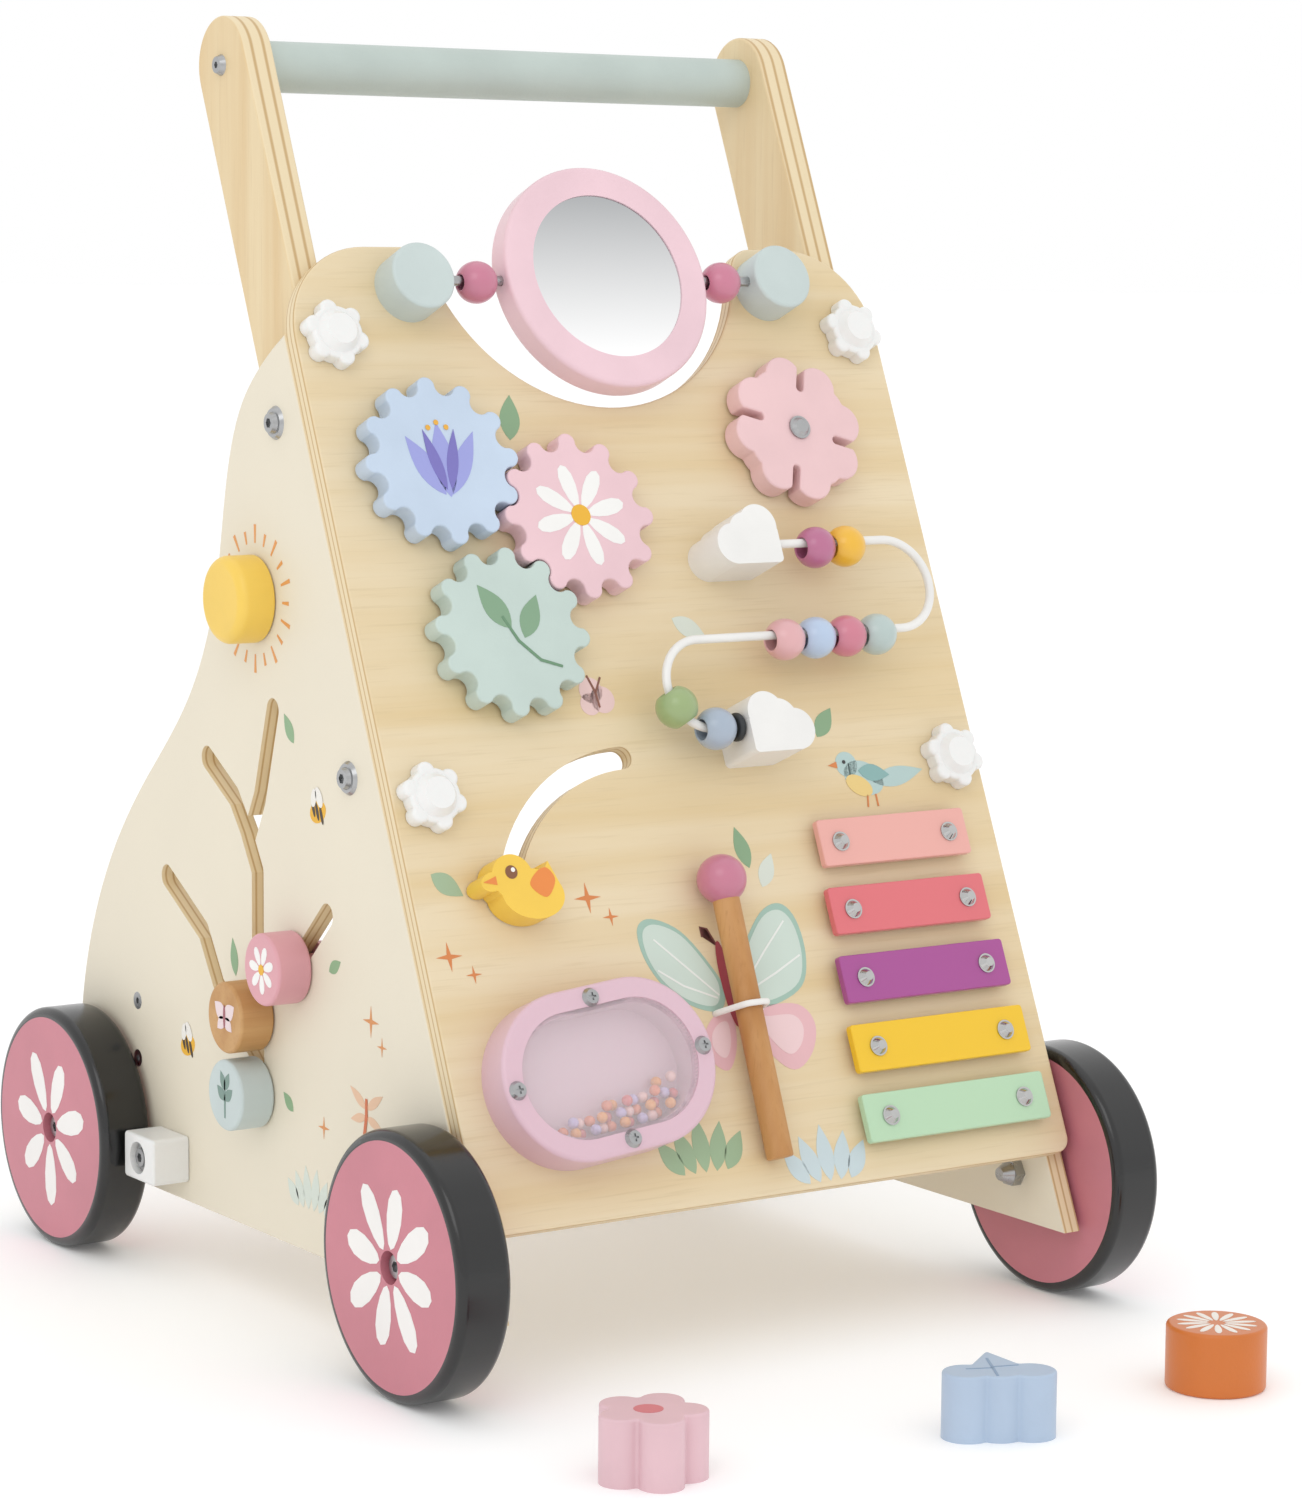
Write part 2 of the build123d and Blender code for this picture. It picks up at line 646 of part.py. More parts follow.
def make_flower():
    # four heart-shaped petals with narrow clefts between them
    petal = 90
    with BuildPart() as flower:
        with BuildSketch(board.offset(toy_low)) as petals:
            with Locations(flower_at):
                Circle(17.5)
                with PolarLocations(18.0, 4, start_angle=petal_angle):
                    Circle(8.4)
                with PolarLocations(21.9, 4, start_angle=petal_angle - 24):
                    Circle(8.6)
                with PolarLocations(21.9, 4, start_angle=petal_angle + 24):
                    Circle(8.6)
            for k in range(4):
                cleft = petal_angle + petal * (k + 0.5)
                run_of_slot(polar(flower_at, 18.2, cleft), polar(flower_at, 36, cleft), 3.4)
            fillet(petals.vertices(), 1.5)
        extrude(amount=toy_high - toy_low)
        fillet(flower.faces().sort_by(outward)[-1].outer_wire().edges(), 0.9)
        with BuildSketch(board.offset(gap)):
            with Locations(flower_at):
                Circle(9)
        extrude(amount=toy_low - gap)
        with BuildSketch(board.offset(gap)):
            with Locations(flower_at):
                Circle(pin_r + run)
        extrude(amount=toy_high, mode=Mode.SUBTRACT)
    save(flower, "flower_spinner")


def make_pivot_pins():
    # pins for the gears and the sun, and the domed bolt of the flower; all have a head at the back
    with BuildPart() as pins:
        with BuildSketch(board.offset(-board_t)):
            with Locations(*gears_at, flower_at):
                Circle(8)
        extrude(amount=-2.5)
        with BuildSketch(board.offset(-board_t)):
            with Locations(*gears_at):
                Circle(pin_r)
        extrude(amount=board_t + toy_high - 2.9)
        with BuildSketch(board.offset(-board_t)):
            with Locations(flower_at):
                Circle(pin_r)
        extrude(amount=board_t + toy_high + gap)
        with BuildSketch(board.offset(toy_high + gap)):
            with Locations(flower_at):
                Circle(4.8)
        extrude(amount=0.7)
        with BuildSketch(board.offset(toy_high + gap + 0.7)):
            with Locations(flower_at):
                Circle(4.0)
        extrude(amount=1.5, taper=40)
        with BuildSketch(across(sun_at[0], sun_at[1], panel_in, -1)):
            Circle(8)
        extrude(amount=-2.5)
        with BuildSketch(across(sun_at[0], sun_at[1], panel_in, -1)):
            Circle(pin_r)
        extrude(amount=panel_t + sun_t - 4.3)
    save(pins, "pivot_pins")


# ---------- duck, bead box, xylophone, mallet ----------
def make_duck():
    x, s = polar(duck_centre, duck_track_r, duck_angle)
    with BuildPart() as duck:
        with BuildSketch(board.offset(0.6)):
            with Locations((x + 2.6, s - 4.2)):
                Ellipse(13.4, 9.6, rotation=-8)
            with Locations((x - 4.6, s + 2.6)):
                Circle(8.8)
            with Locations((x - 13.4, s + 1.6)):
                Ellipse(5.2, 3.6, rotation=12)
            Polygon((x + 5.0, s - 2.0), (x + 11.6, s + 7.6), (x + 16.0, s - 4.2))
        extrude(amount=duck_h - 0.6)
        with BuildSketch(board.offset(0.6)):
            with Locations((x, s)):
                Circle(duck_slot_w / 2 - 0.25)
        extrude(amount=-0.6 - board_t - gap)
        # the disc behind the board that keeps the duck in its slot
        with BuildSketch(board.offset(-board_t - gap)):
            with Locations((x, s)):
                Circle(9.5)
        extrude(amount=-3.0)
    save(duck, "duck")


def pill(half, r):
    with Locations(box_at):
        SlotCenterToCenter(2 * half, 2 * r, rotation=box_turn)


def make_bead_box():
    with BuildPart() as box:
        with BuildSketch(board):
            pill(box_half, box_r)
        extrude(amount=box_h)
        fillet(box.faces().sort_by(outward)[-1].outer_wire().edges(), 1.8)
        with BuildSketch(board.offset(2.5)):
            pill(box_half, window_r)
        extrude(amount=box_h, mode=Mode.SUBTRACT)
        with BuildSketch(board.offset(box_h - window_t - 0.6)):
            pill(box_half, window_r + 1.4)
        extrude(amount=window_t + 1.0, mode=Mode.SUBTRACT)
        with BuildSketch(board.offset(box_h)):
            with Locations(*box_screws_at):
                Circle(1.5)
        extrude(amount=-box_h, mode=Mode.SUBTRACT)
    save(box, "bead_box")
    with BuildPart() as window:
        with BuildSketch(board.offset(box_h - window_t - 0.6)):
            pill(box_half, window_r + 1.4)
        extrude(amount=window_t)
    save(window, "bead_box_window")


def make_loose_beads():
    # little balls lying along the bottom of the window, in two rows
    r = 2.55
    turn = radians(box_turn)
    with BuildPart() as balls:
        for row, count in ((0, 11), (1, 9)):
            for k in range(count):
                along = (k - (count - 1) / 2) * (2 * r + 0.15)
                reach = max(0.0, abs(along) - box_half)
                inner = window_r - r - 0.35 - row * (2 * r + 0.1)
                across_box = -sqrt(inner ** 2 - reach ** 2)
                x = box_at[0] + along * cos(turn) - across_box * sin(turn)
                s = box_at[1] + along * sin(turn) + across_box * cos(turn)
                h = 8.0 + 2.4 * sin(2.4 * k + 1.3 * row)
                with Locations(on_board(x, s, h)):
                    Sphere(r)
    save(balls, "bead_box_beads")


def make_xylophone():
    with BuildPart() as bars:
        for s, length in bar_rows:
            with BuildSketch(board.offset(bar_low)):
                with Locations((bar_x, s)):
                    RectangleRounded(length, bar_w, 1.5)
                with Locations(*[(bar_x + side * nail_share * length, s) for side in (-1, 1)]):
                    Circle(1.5, mode=Mode.SUBTRACT)
            extrude(amount=bar_high - bar_low)
        tops = [f for f in bars.faces().filter_by(GeomType.PLANE)
                if abs(board.to_local_coords(f.center()).Z - bar_high) < 0.01]
        for top in tops:
            fillet(top.outer_wire().edges(), 0.6)
    save(bars, "xylophone_bars")
    with BuildPart() as nails:
        with BuildSketch(board.offset(bar_high)):
            with Locations(*nails_at):
                Circle(3.9)
        extrude(amount=0.6)
        with BuildSketch(board.offset(bar_high + 0.6)):
            with Locations(*nails_at):
                Circle(3.3)
        extrude(amount=2.2, taper=35)
        with BuildSketch(board.offset(bar_high)):
            with Locations(*nails_at):
                Circle(1.5)
        extrude(amount=-bar_high - board_t + 0.8)
        with BuildSketch(board):
            with Locations(*nails_at):
                Circle(4.5)
                Circle(1.5, mode=Mode.SUBTRACT)
        extrude(amount=bar_low)
    save(nails, "xylophone_nails")


mallet_top = on_board(-7.1, 188.5, 10.1)
mallet_foot = on_board(-6.0, 80.5, 6.1)
mallet_axis = (mallet_top - mallet_foot).normalized()
mallet_head_r, mallet_stick_r = 9.6, 5.2


def make_mallet():
    seat = Plane(origin=mallet_top - mallet_axis * 7.6, z_dir=mallet_axis)
    with BuildPart() as head:
        with Locations(mallet_top):
            Sphere(mallet_head_r)
        with BuildSketch(seat):
            Circle(mallet_stick_r)
        extrude(amount=-mallet_head_r, mode=Mode.SUBTRACT)
    save(head, "mallet_head")
    with BuildPart() as stick:
        with BuildSketch(Plane(origin=mallet_foot, z_dir=mallet_axis)):
            Circle(mallet_stick_r)
        extrude(amount=(mallet_top - mallet_foot).length - 7.6)
        fillet(stick.edges().filter_by(GeomType.CIRCLE).sort_by(Axis(mallet_foot, mallet_axis))[0], 0.8)
    save(stick, "mallet_stick")


def make_mallet_loop():
    # elastic cord: out of one hole, over the stick, and back through the other
    crown = 8.2 + mallet_stick_r + 1.6
    section = Plane(origin=on_board(loop_at[0], loop_at[1], 0), x_dir=(1, 0, 0),
                    z_dir=-board.y_dir)
    end = -board_t - 1.0
    with BuildPart() as loop:
        with BuildLine(section) as path:
            FilletPolyline((-loop_holes, end), (-loop_holes, 2.2), (-4.6, crown), (4.6, crown),
                           (loop_holes, 2.2), (loop_holes, end), radius=3.4)
        with BuildSketch(Plane(origin=path.line @ 0, z_dir=path.line % 0)):
            Circle(1.2)
        sweep(path=path.line)
    save(loop, "mallet_loop")


# ---------- side toys and sorter pieces ----------
def make_sun_knob():
    face = across(sun_at[0], sun_at[1], panel_face + gap, -1)
    with BuildPart() as sun:
        with BuildSketch(face):
            Circle(sun_r)
        extrude(amount=sun_t)
        fillet(sun.faces().sort_by(Axis.X)[0].outer_wire().edges(), 4.0)
        fillet(sun.faces().sort_by(Axis.X)[-1].outer_wire().edges(), 1.0)
        with BuildSketch(face):
            Circle(pin_r + run)
        extrude(amount=sun_t - 4.0, mode=Mode.SUBTRACT)
    save(sun, "sun_knob")


def make_tree_knobs():
    for name, (y, z) in cap_at.items():
        face = across(y, z, panel_face + gap, -1)
        with BuildPart() as knob:
            with BuildSketch(face):
                Circle(cap_r)
            extrude(amount=cap_t)
            fillet(knob.edges().filter_by(GeomType.CIRCLE), 1.3)
            with BuildSketch(face):
                Circle(shank_r)
            extrude(amount=-panel_t - 2 * gap)
            # the disc inside the panel that keeps the knob in its track
            with BuildSketch(across(y, z, panel_in - gap, -1)):
                Circle(9)
            extrude(amount=-3.0)
        save(knob, f"tree_knob_{name}")


def make_sorter_pieces():
    with BuildPart() as puck:
        with Locations((*round_on_floor, piece_h / 2)):
            Cylinder(round_r, piece_h)
        fillet(puck.edges().filter_by(GeomType.CIRCLE), 1.4)
    save(puck, "sorter_round")
    for name, spot, turn, outline in (("sorter_flower", flower_on_floor, 20, flower_outline),
                                      ("sorter_leaf", leaf_on_floor, -28, leaf_outline)):
        with BuildPart() as piece:
            with BuildSketch(Plane(origin=(*spot, 0), x_dir=(cos(radians(turn)), sin(radians(turn)), 0),
                                   z_dir=(0, 0, 1))) as shape:
                outline()
                fillet(shape.vertices(), 1.2)
            extrude(amount=piece_h)
            fillet(piece.faces().sort_by(Axis.Z)[-1].outer_wire().edges(), 1.0)
        save(piece, name)


with BuildSketch() as flower_sketch:
    flower_outline(piece_gap)
    fillet(flower_sketch.vertices(), 1.5)
flower_cut = flower_sketch.sketch
with BuildSketch() as leaf_sketch:
    leaf_outline(piece_gap)
    fillet(leaf_sketch.vertices(), 1.2)
leaf_cut = leaf_sketch.sketch

make_front_board()
for hand in (-1, 1):
    make_side_panel(hand)
    make_handle_arm(hand)
make_handle_bar()
make_rear_rail()
make_wood_screws()
make_panel_bolts()
make_star_knobs()
for place, (hand, y) in wheel_places.items():
    make_wheel(place, hand, y)
make_axle_bolts()
make_brakes()
make_mirror()
make_mirror_mount()
make_beads()
make_wire()
make_clouds()
make_gears()
make_flower()
make_pivot_pins()
make_duck()
make_bead_box()
make_loose_beads()
make_xylophone()
make_mallet()
make_mallet_loop()
make_sun_knob()
make_tree_knobs()
make_sorter_pieces()
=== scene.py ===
import bpy
import bmesh
import json
from math import cos, pi, radians, sin, sqrt
from mathutils import Matrix, Vector

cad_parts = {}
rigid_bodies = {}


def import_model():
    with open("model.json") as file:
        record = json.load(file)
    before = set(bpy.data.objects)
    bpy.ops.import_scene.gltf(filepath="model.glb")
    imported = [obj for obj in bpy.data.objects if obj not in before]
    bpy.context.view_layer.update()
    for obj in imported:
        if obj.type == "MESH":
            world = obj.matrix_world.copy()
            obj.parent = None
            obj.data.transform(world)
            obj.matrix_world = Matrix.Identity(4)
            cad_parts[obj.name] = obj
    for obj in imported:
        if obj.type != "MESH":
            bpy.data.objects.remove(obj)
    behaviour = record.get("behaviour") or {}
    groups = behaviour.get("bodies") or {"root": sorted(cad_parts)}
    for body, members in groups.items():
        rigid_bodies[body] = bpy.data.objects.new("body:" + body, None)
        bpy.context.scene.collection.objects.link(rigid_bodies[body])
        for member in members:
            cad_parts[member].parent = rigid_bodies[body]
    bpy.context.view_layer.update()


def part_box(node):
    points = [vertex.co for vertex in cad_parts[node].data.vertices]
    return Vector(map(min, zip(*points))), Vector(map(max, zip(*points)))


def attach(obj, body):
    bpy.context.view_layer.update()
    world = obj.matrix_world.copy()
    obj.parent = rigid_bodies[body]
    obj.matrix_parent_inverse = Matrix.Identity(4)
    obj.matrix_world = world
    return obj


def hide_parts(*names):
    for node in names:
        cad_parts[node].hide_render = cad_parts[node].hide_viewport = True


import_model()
print("frame loaded")

# the leaning board: x across, s up the slope, h out of the board
lean = radians(23.08)
boardFoot = Vector((0, -0.1902, 0))
upSlope = Vector((0, sin(lean), cos(lean)))
outward = Vector((0, -cos(lean), sin(lean)))
panelFace = abs(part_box("side_panel_left")[0][0])


def onBoard(x, s, h=0.0):
    return boardFoot + Vector((x / 1000, 0, 0)) + upSlope * (s / 1000) + outward * (h / 1000)


def onLeftPanel(y, z, h=0.0):
    return Vector((-panelFace - h / 1000, y / 1000, z / 1000))


def onWheel(side, yCentre):
    faceX = abs(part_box("wheel_front_left")[0][0])

    def place(a, b, h=0.0):
        return Vector((side * (faceX + h / 1000), (yCentre + a) / 1000, 0.05 + b / 1000))
    return place


def srgb(text):
    out = []
    for i in (1, 3, 5):
        v = int(text[i:i + 2], 16) / 255
        out.append(v / 12.92 if v <= 0.04045 else ((v + 0.055) / 1.055) ** 2.4)
    return (*out, 1)


def newMaterial(name):
    mat = bpy.data.materials.new(name)
    mat.use_nodes = True
    tree = mat.node_tree
    return mat, tree, tree.nodes["Principled BSDF"]


def addNode(tree, kind, **values):
    node = tree.nodes.new(kind)
    for key, value in values.items():
        setattr(node, key, value)
    return node


def noiseOn(tree, scale, detail=3.0, stretch=(1, 1, 1), turn=(0, 0, 0)):
    coords = addNode(tree, "ShaderNodeTexCoord")
    mapping = addNode(tree, "ShaderNodeMapping")
    mapping.inputs["Scale"].default_value = stretch
    mapping.inputs["Rotation"].default_value = turn
    noise = addNode(tree, "ShaderNodeTexNoise")
    noise.inputs["Scale"].default_value = scale
    noise.inputs["Detail"].default_value = detail
    tree.links.new(coords.outputs["Object"], mapping.inputs["Vector"])
    tree.links.new(mapping.outputs["Vector"], noise.inputs["Vector"])
    return noise


def mixColour(tree, factor, low, high):
    mix = addNode(tree, "ShaderNodeMix", data_type="RGBA")
    tree.links.new(factor, mix.inputs["Factor"])
    for value, socket in ((low, mix.inputs[6]), (high, mix.inputs[7])):
        if isinstance(value, tuple):
            socket.default_value = value
        else:
            tree.links.new(value, socket)
    return mix.outputs[2]


def ramp(tree, source, low, high):
    node = addNode(tree, "ShaderNodeMapRange")
    node.inputs["From Min"].default_value = low
    node.inputs["From Max"].default_value = high
    tree.links.new(source, node.inputs["Value"])
    return node.outputs["Result"]


def bumpFrom(tree, shader, height, strength, distance=0.0004):
    bump = addNode(tree, "ShaderNodeBump")
    bump.inputs["Strength"].default_value = strength
    bump.inputs["Distance"].default_value = distance
    tree.links.new(height, bump.inputs["Height"])
    tree.links.new(bump.outputs["Normal"], shader.inputs["Normal"])


# the lamps add to a white studio, so each surface gives back a little less than its own colour
surfaceShare = 0.86


def shade(text, factor=1.0):
    r, g, b, a = srgb(text)
    part = factor * surfaceShare
    return (min(1, r * part), min(1, g * part), min(1, b * part), a)


def paint(name, colour, rough=0.42, coat=0.0, grain=0.12, mottle=0.05):
    # brushed or sprayed paint on wood: slight mottling, fine orange peel
    mat, tree, shader = newMaterial(name)
    cloudy = noiseOn(tree, 28, 4)
    both = mixColour(tree, ramp(tree, cloudy.outputs["Fac"], 0.3, 0.7), shade(colour, 1 - mottle),
                     shade(colour, 1 + mottle))
    tree.links.new(both, shader.inputs["Base Color"])
    peel = noiseOn(tree, 900, 2)
    bumpFrom(tree, shader, peel.outputs["Fac"], grain)
    shader.inputs["Roughness"].default_value = rough
    shader.inputs["Coat Weight"].default_value = coat
    shader.inputs["Coat Roughness"].default_value = 0.12
    return mat


def woodColour(tree, pale, dark, along):
    # long soft figure with fine pores, running along one axis
    stretch = {"x": (1.5, 40, 40), "z": (40, 40, 1.5)}[along]
    tilt = (-lean if along == "z" else 0, 0, 0)
    figure = noiseOn(tree, 1.6, 5, stretch, tilt)
    pores = noiseOn(tree, 14, 3, tuple(v * 1.6 for v in stretch), tilt)
    base = mixColour(tree, ramp(tree, figure.outputs["Fac"], 0.35, 0.68), shade(pale), shade(dark))
    fleck = ramp(tree, pores.outputs["Fac"], 0.56, 0.74)
    weak = addNode(tree, "ShaderNodeMath", operation="MULTIPLY")
    tree.links.new(fleck, weak.inputs[0])
    weak.inputs[1].default_value = 0.35
    return mixColour(tree, weak.outputs[0], base, shade(dark, 0.86)), pores.outputs["Fac"]


def bareWood(name, pale, dark, along="z", rough=0.5):
    mat, tree, shader = newMaterial(name)
    colour, pores = woodColour(tree, pale, dark, along)
    tree.links.new(colour, shader.inputs["Base Color"])
    bumpFrom(tree, shader, pores, 0.12)
    shader.inputs["Roughness"].default_value = rough
    return mat


plywood = {
    "layers": 5, "paleLayer": "#f2dfb8", "darkLayer": "#cfae7b",
    "board": 0.007, "panel": 0.0083, "arm": 0.013, "armFace": 0.1292,
    "panelPaint": "#f1e8d3", "armPale": "#f1dcb2", "armDark": "#e6c896",
}


def plywoodSheet(name, faceNormal, faceOffset, thick, face=None, pale="#f1dfbc", dark="#e8cf9f", along="z"):
    # faces show veneer or paint; edges show the glued layers
    mat, tree, shader = newMaterial(name)
    geometry = addNode(tree, "ShaderNodeNewGeometry")
    coords = addNode(tree, "ShaderNodeTexCoord")
    facing = addNode(tree, "ShaderNodeVectorMath", operation="DOT_PRODUCT")
    tree.links.new(geometry.outputs["True Normal"], facing.inputs[0])
    facing.inputs[1].default_value = faceNormal
    flat = addNode(tree, "ShaderNodeMath", operation="ABSOLUTE")
    tree.links.new(facing.outputs["Value"], flat.inputs[0])
    edge = ramp(tree, flat.outputs[0], 0.75, 0.55)
    depth = addNode(tree, "ShaderNodeVectorMath", operation="DOT_PRODUCT")
    tree.links.new(coords.outputs["Object"], depth.inputs[0])
    depth.inputs[1].default_value = faceNormal
    wave = addNode(tree, "ShaderNodeMath", operation="MULTIPLY_ADD")
    tree.links.new(depth.outputs["Value"], wave.inputs[0])
    wave.inputs[1].default_value = pi * plywood["layers"] / thick
    wave.inputs[2].default_value = -faceOffset * pi * plywood["layers"] / thick
    stripe = addNode(tree, "ShaderNodeMath", operation="SINE")
    tree.links.new(wave.outputs[0], stripe.inputs[0])
    glueLine = ramp(tree, stripe.outputs[0], -0.97, -0.45)
    layer = mixColour(tree, glueLine, shade(plywood["darkLayer"]), shade(plywood["paleLayer"]))
    if face:
        cloudy = noiseOn(tree, 22, 4).outputs["Fac"]
        veneer = mixColour(tree, cloudy, shade(face, 0.97), shade(face, 1.02))
        bumpFrom(tree, shader, noiseOn(tree, 700, 2).outputs["Fac"], 0.1)
    else:
        veneer, pores = woodColour(tree, pale, dark, along)
        bumpFrom(tree, shader, pores, 0.08)
    tree.links.new(mixColour(tree, edge, veneer, layer), shader.inputs["Base Color"])
    shader.inputs["Roughness"].default_value = 0.48
    return mat


def metal(name, colour, rough):
    mat, tree, shader = newMaterial(name)
    shader.inputs["Metallic"].default_value = 1.0
    worn = noiseOn(tree, 160, 3)
    tree.links.new(mixColour(tree, worn.outputs["Fac"], shade(colour, 0.88), shade(colour, 1.08)),
                   shader.inputs["Base Color"])
    spread = addNode(tree, "ShaderNodeMapRange")
    spread.inputs["To Min"].default_value = rough * 0.7
    spread.inputs["To Max"].default_value = rough * 1.4
    tree.links.new(worn.outputs["Fac"], spread.inputs["Value"])
    tree.links.new(spread.outputs["Result"], shader.inputs["Roughness"])
    return mat


def rubber(name, colour, rough, coat=0.0):
    return paint(name, colour, rough, coat, 0.05, 0.03)


def moulded(name, colour, rough=0.35, glow=0.0):
    # moulded plastic with a trace of light inside
    mat, tree, shader = newMaterial(name)
    fine = noiseOn(tree, 500, 2)
    tree.links.new(mixColour(tree, fine.outputs["Fac"], shade(colour, 0.985), shade(colour, 1.015)),
                   shader.inputs["Base Color"])
    bumpFrom(tree, shader, fine.outputs["Fac"], 0.06)
    shader.inputs["Roughness"].default_value = rough
    shader.inputs["Subsurface Weight"].default_value = glow
    shader.inputs["Subsurface Radius"].default_value = (0.003, 0.002, 0.002)
    shader.inputs["Coat Weight"].default_value = 0.2
    return mat


def stripesUpBoard(name, start, pitch, colours):
    # one colour for each bar, by its place up the slope
    mat, tree, shader = newMaterial(name)
    coords = addNode(tree, "ShaderNodeTexCoord")
    up = addNode(tree, "ShaderNodeVectorMath", operation="DOT_PRODUCT")
    tree.links.new(coords.outputs["Object"], up.inputs[0])
    up.inputs[1].default_value = upSlope
    base = boardFoot.dot(upSlope)
    span = addNode(tree, "ShaderNodeMapRange")
    span.inputs["From Min"].default_value = base + (start - pitch / 2) / 1000
    span.inputs["From Max"].default_value = base + (start + pitch * (len(colours) - 0.5)) / 1000
    tree.links.new(up.outputs["Value"], span.inputs["Value"])
    band = addNode(tree, "ShaderNodeValToRGB")
    band.color_ramp.interpolation = "CONSTANT"
    stops = band.color_ramp.elements
    stops[0].color = shade(colours[0])
    stops[1].position = 1 / len(colours)
    stops[1].color = shade(colours[1])
    for i, colour in enumerate(colours[2:], 2):
        stop = stops.new(i / len(colours))
        stop.color = shade(colour)
    tree.links.new(span.outputs["Result"], band.inputs["Fac"])
    tree.links.new(band.outputs["Color"], shader.inputs["Base Color"])
    bumpFrom(tree, shader, noiseOn(tree, 800, 2).outputs["Fac"], 0.05)
    shader.inputs["Roughness"].default_value = 0.33
    shader.inputs["Coat Weight"].default_value = 0.3
    return mat


def clearPane(name):
    mat, tree, shader = newMaterial(name)
    shader.inputs["Base Color"].default_value = (0.97, 0.98, 0.98, 1)
    shader.inputs["Roughness"].default_value = 0.04
    shader.inputs["Alpha"].default_value = 0.16
    bumpFrom(tree, shader, noiseOn(tree, 40, 1).outputs["Fac"], 0.02)
    return mat


def mirrorFace(name):
    mat, tree, shader = newMaterial(name)
    shader.inputs["Metallic"].default_value = 1.0
    shader.inputs["Roughness"].default_value = 0.06
    # painted reflection: the base colour darkens to grey towards the top, standing in for a darker surround
    # that the white studio has nothing of to mirror
    coords = addNode(tree, "ShaderNodeTexCoord")
    height = addNode(tree, "ShaderNodeSeparateXYZ")
    tree.links.new(coords.outputs["Object"], height.inputs[0])
    low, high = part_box("mirror_glass")
    paintedReflectionFade = ramp(tree, height.outputs["Z"], low[2], high[2])
    tree.links.new(mixColour(tree, paintedReflectionFade, (0.96, 0.96, 0.96, 1), (0.42, 0.43, 0.44, 1)),
                   shader.inputs["Base Color"])
    return mat


def dress(node, mat):
    for obj in bpy.data.objects:
        if obj.name == node:
            if not obj.material_slots:
                obj.data.materials.append(mat)
            for slotNow in obj.material_slots:
                slotNow.material = mat
            return
    raise SystemExit("no node " + node)


boardBack = outward.dot(boardFoot)
steel = metal("zincSteel", "#b9babb", 0.28)
cream = plywoodSheet("creamPanel", (1, 0, 0), panelFace, plywood["panel"], face=plywood["panelPaint"])
finishes = {
    "front_board": plywoodSheet("birchBoard", tuple(outward), boardBack, plywood["board"], along="x"),
    "side_panel_left": cream,
    "side_panel_right": cream,
    "handle_bar": paint("sageBar", "#c3d0ca", 0.5),
    "rear_rail": bareWood("railWood", "#f0d9b2", "#e0c190", "x"),
    "wood_screws": steel,
    "panel_bolts": steel,
    "axle_bolts": steel,
    "pivot_pins": steel,
    "mirror_rod": steel,
    "xylophone_nails": metal("polishedNail", "#c9c9c8", 0.12),
    "star_knobs": moulded("whiteKnob", "#f7f7f5", 0.35, 0.1),
    "mirror_ring": paint("ringPink", "#f3d0d9", 0.4, 0.15),
    "mirror_glass": mirrorFace("mirrorFace"),
    "mirror_posts": paint("sagePost", "#cddad8", 0.45),
    "rod_bead_left": paint("crimsonBead", "#cf7f98", 0.3, 0.3),
    "rod_bead_right": paint("crimsonBeadRight", "#cf7f98", 0.3, 0.3),
    "gear_blue": paint("gearBlue", "#cbdcf0", 0.45),
    "gear_pink": paint("gearPink", "#f2cdd4", 0.45),
    "gear_green": paint("gearGreen", "#c9dad3", 0.45),
    "flower_spinner": paint("flowerPink", "#f3cdcf", 0.45),
    "cloud_posts": paint("cloudWhite", "#f6f5f2", 0.4, 0.15),
    "bead_wire": paint("wireWhite", "#f5f4f1", 0.3, 0.3),
    "stop_ring": rubber("ringBlack", "#2c3033", 0.5),
    "duck": paint("duckYellow", "#fbd04f", 0.42, 0.1),
    "bead_box": moulded("mauveTray", "#e6c3d0", 0.4, 0.1),
    "bead_box_window": clearPane("clearPane"),
    "xylophone_bars": stripesUpBoard("barPaint", 90.7, 27.27,
                                     ["#bfe2bd", "#fbcb12", "#ad4a98", "#e8737a", "#f4b3a9"]),
    "mallet_head": paint("malletHead", "#cf7f98", 0.3, 0.3),
    "mallet_stick": bareWood("malletWood", "#d9a56a", "#bd8346"),
    "mallet_loop": paint("elasticWhite", "#f4f2ee", 0.8),
    "sun_knob": paint("sunYellow", "#fbd35c", 0.4, 0.1),
    "tree_knob_daisy": paint("knobPink", "#e3a6af", 0.42),
    "tree_knob_butterfly": bareWood("knobWood", "#d8ab72", "#c08b4e", "x"),
    "tree_knob_sprig": paint("knobSage", "#cbd8d7", 0.42),
    "sorter_round": paint("blockOrange", "#d9772c", 0.38, 0.1),
    "sorter_flower": paint("blockPink", "#e9c3cb", 0.42),
    "sorter_leaf": paint("blockBlue", "#b9cce3", 0.42),
}
beadPaint = {
    "plum": "#bf7095", "yellow": "#f4bd35", "blush": "#ecb6b9", "sky": "#bdd0ea",
    "rose": "#d88296", "sage": "#bccdca", "leaf": "#9fb57d", "grey": "#aebccd",
}
for name, colour in beadPaint.items():
    finishes["wire_bead_" + name] = paint(name + "Bead", colour, 0.3, 0.4)
for end in ("front", "rear"):
    for hand in ("left", "right"):
        finishes[f"wheel_{end}_{hand}"] = paint(f"wheelPink{end}{hand}", "#cf7f8d", 0.42, 0.1)
        finishes[f"tyre_{end}_{hand}"] = rubber(f"tyreBlack{end}{hand}", "#08090a", 0.26, 0.35)
for hand, sign in (("left", -1), ("right", 1)):
    finishes[f"handle_arm_{hand}"] = plywoodSheet(
        f"armPly{hand}", (1, 0, 0), sign * plywood["armFace"], plywood["arm"],
        pale=plywood["armPale"], dark=plywood["armDark"])
    finishes[f"brake_block_{hand}"] = moulded(f"brakeWhite{hand}", "#f4f4f2", 0.35, 0.1)
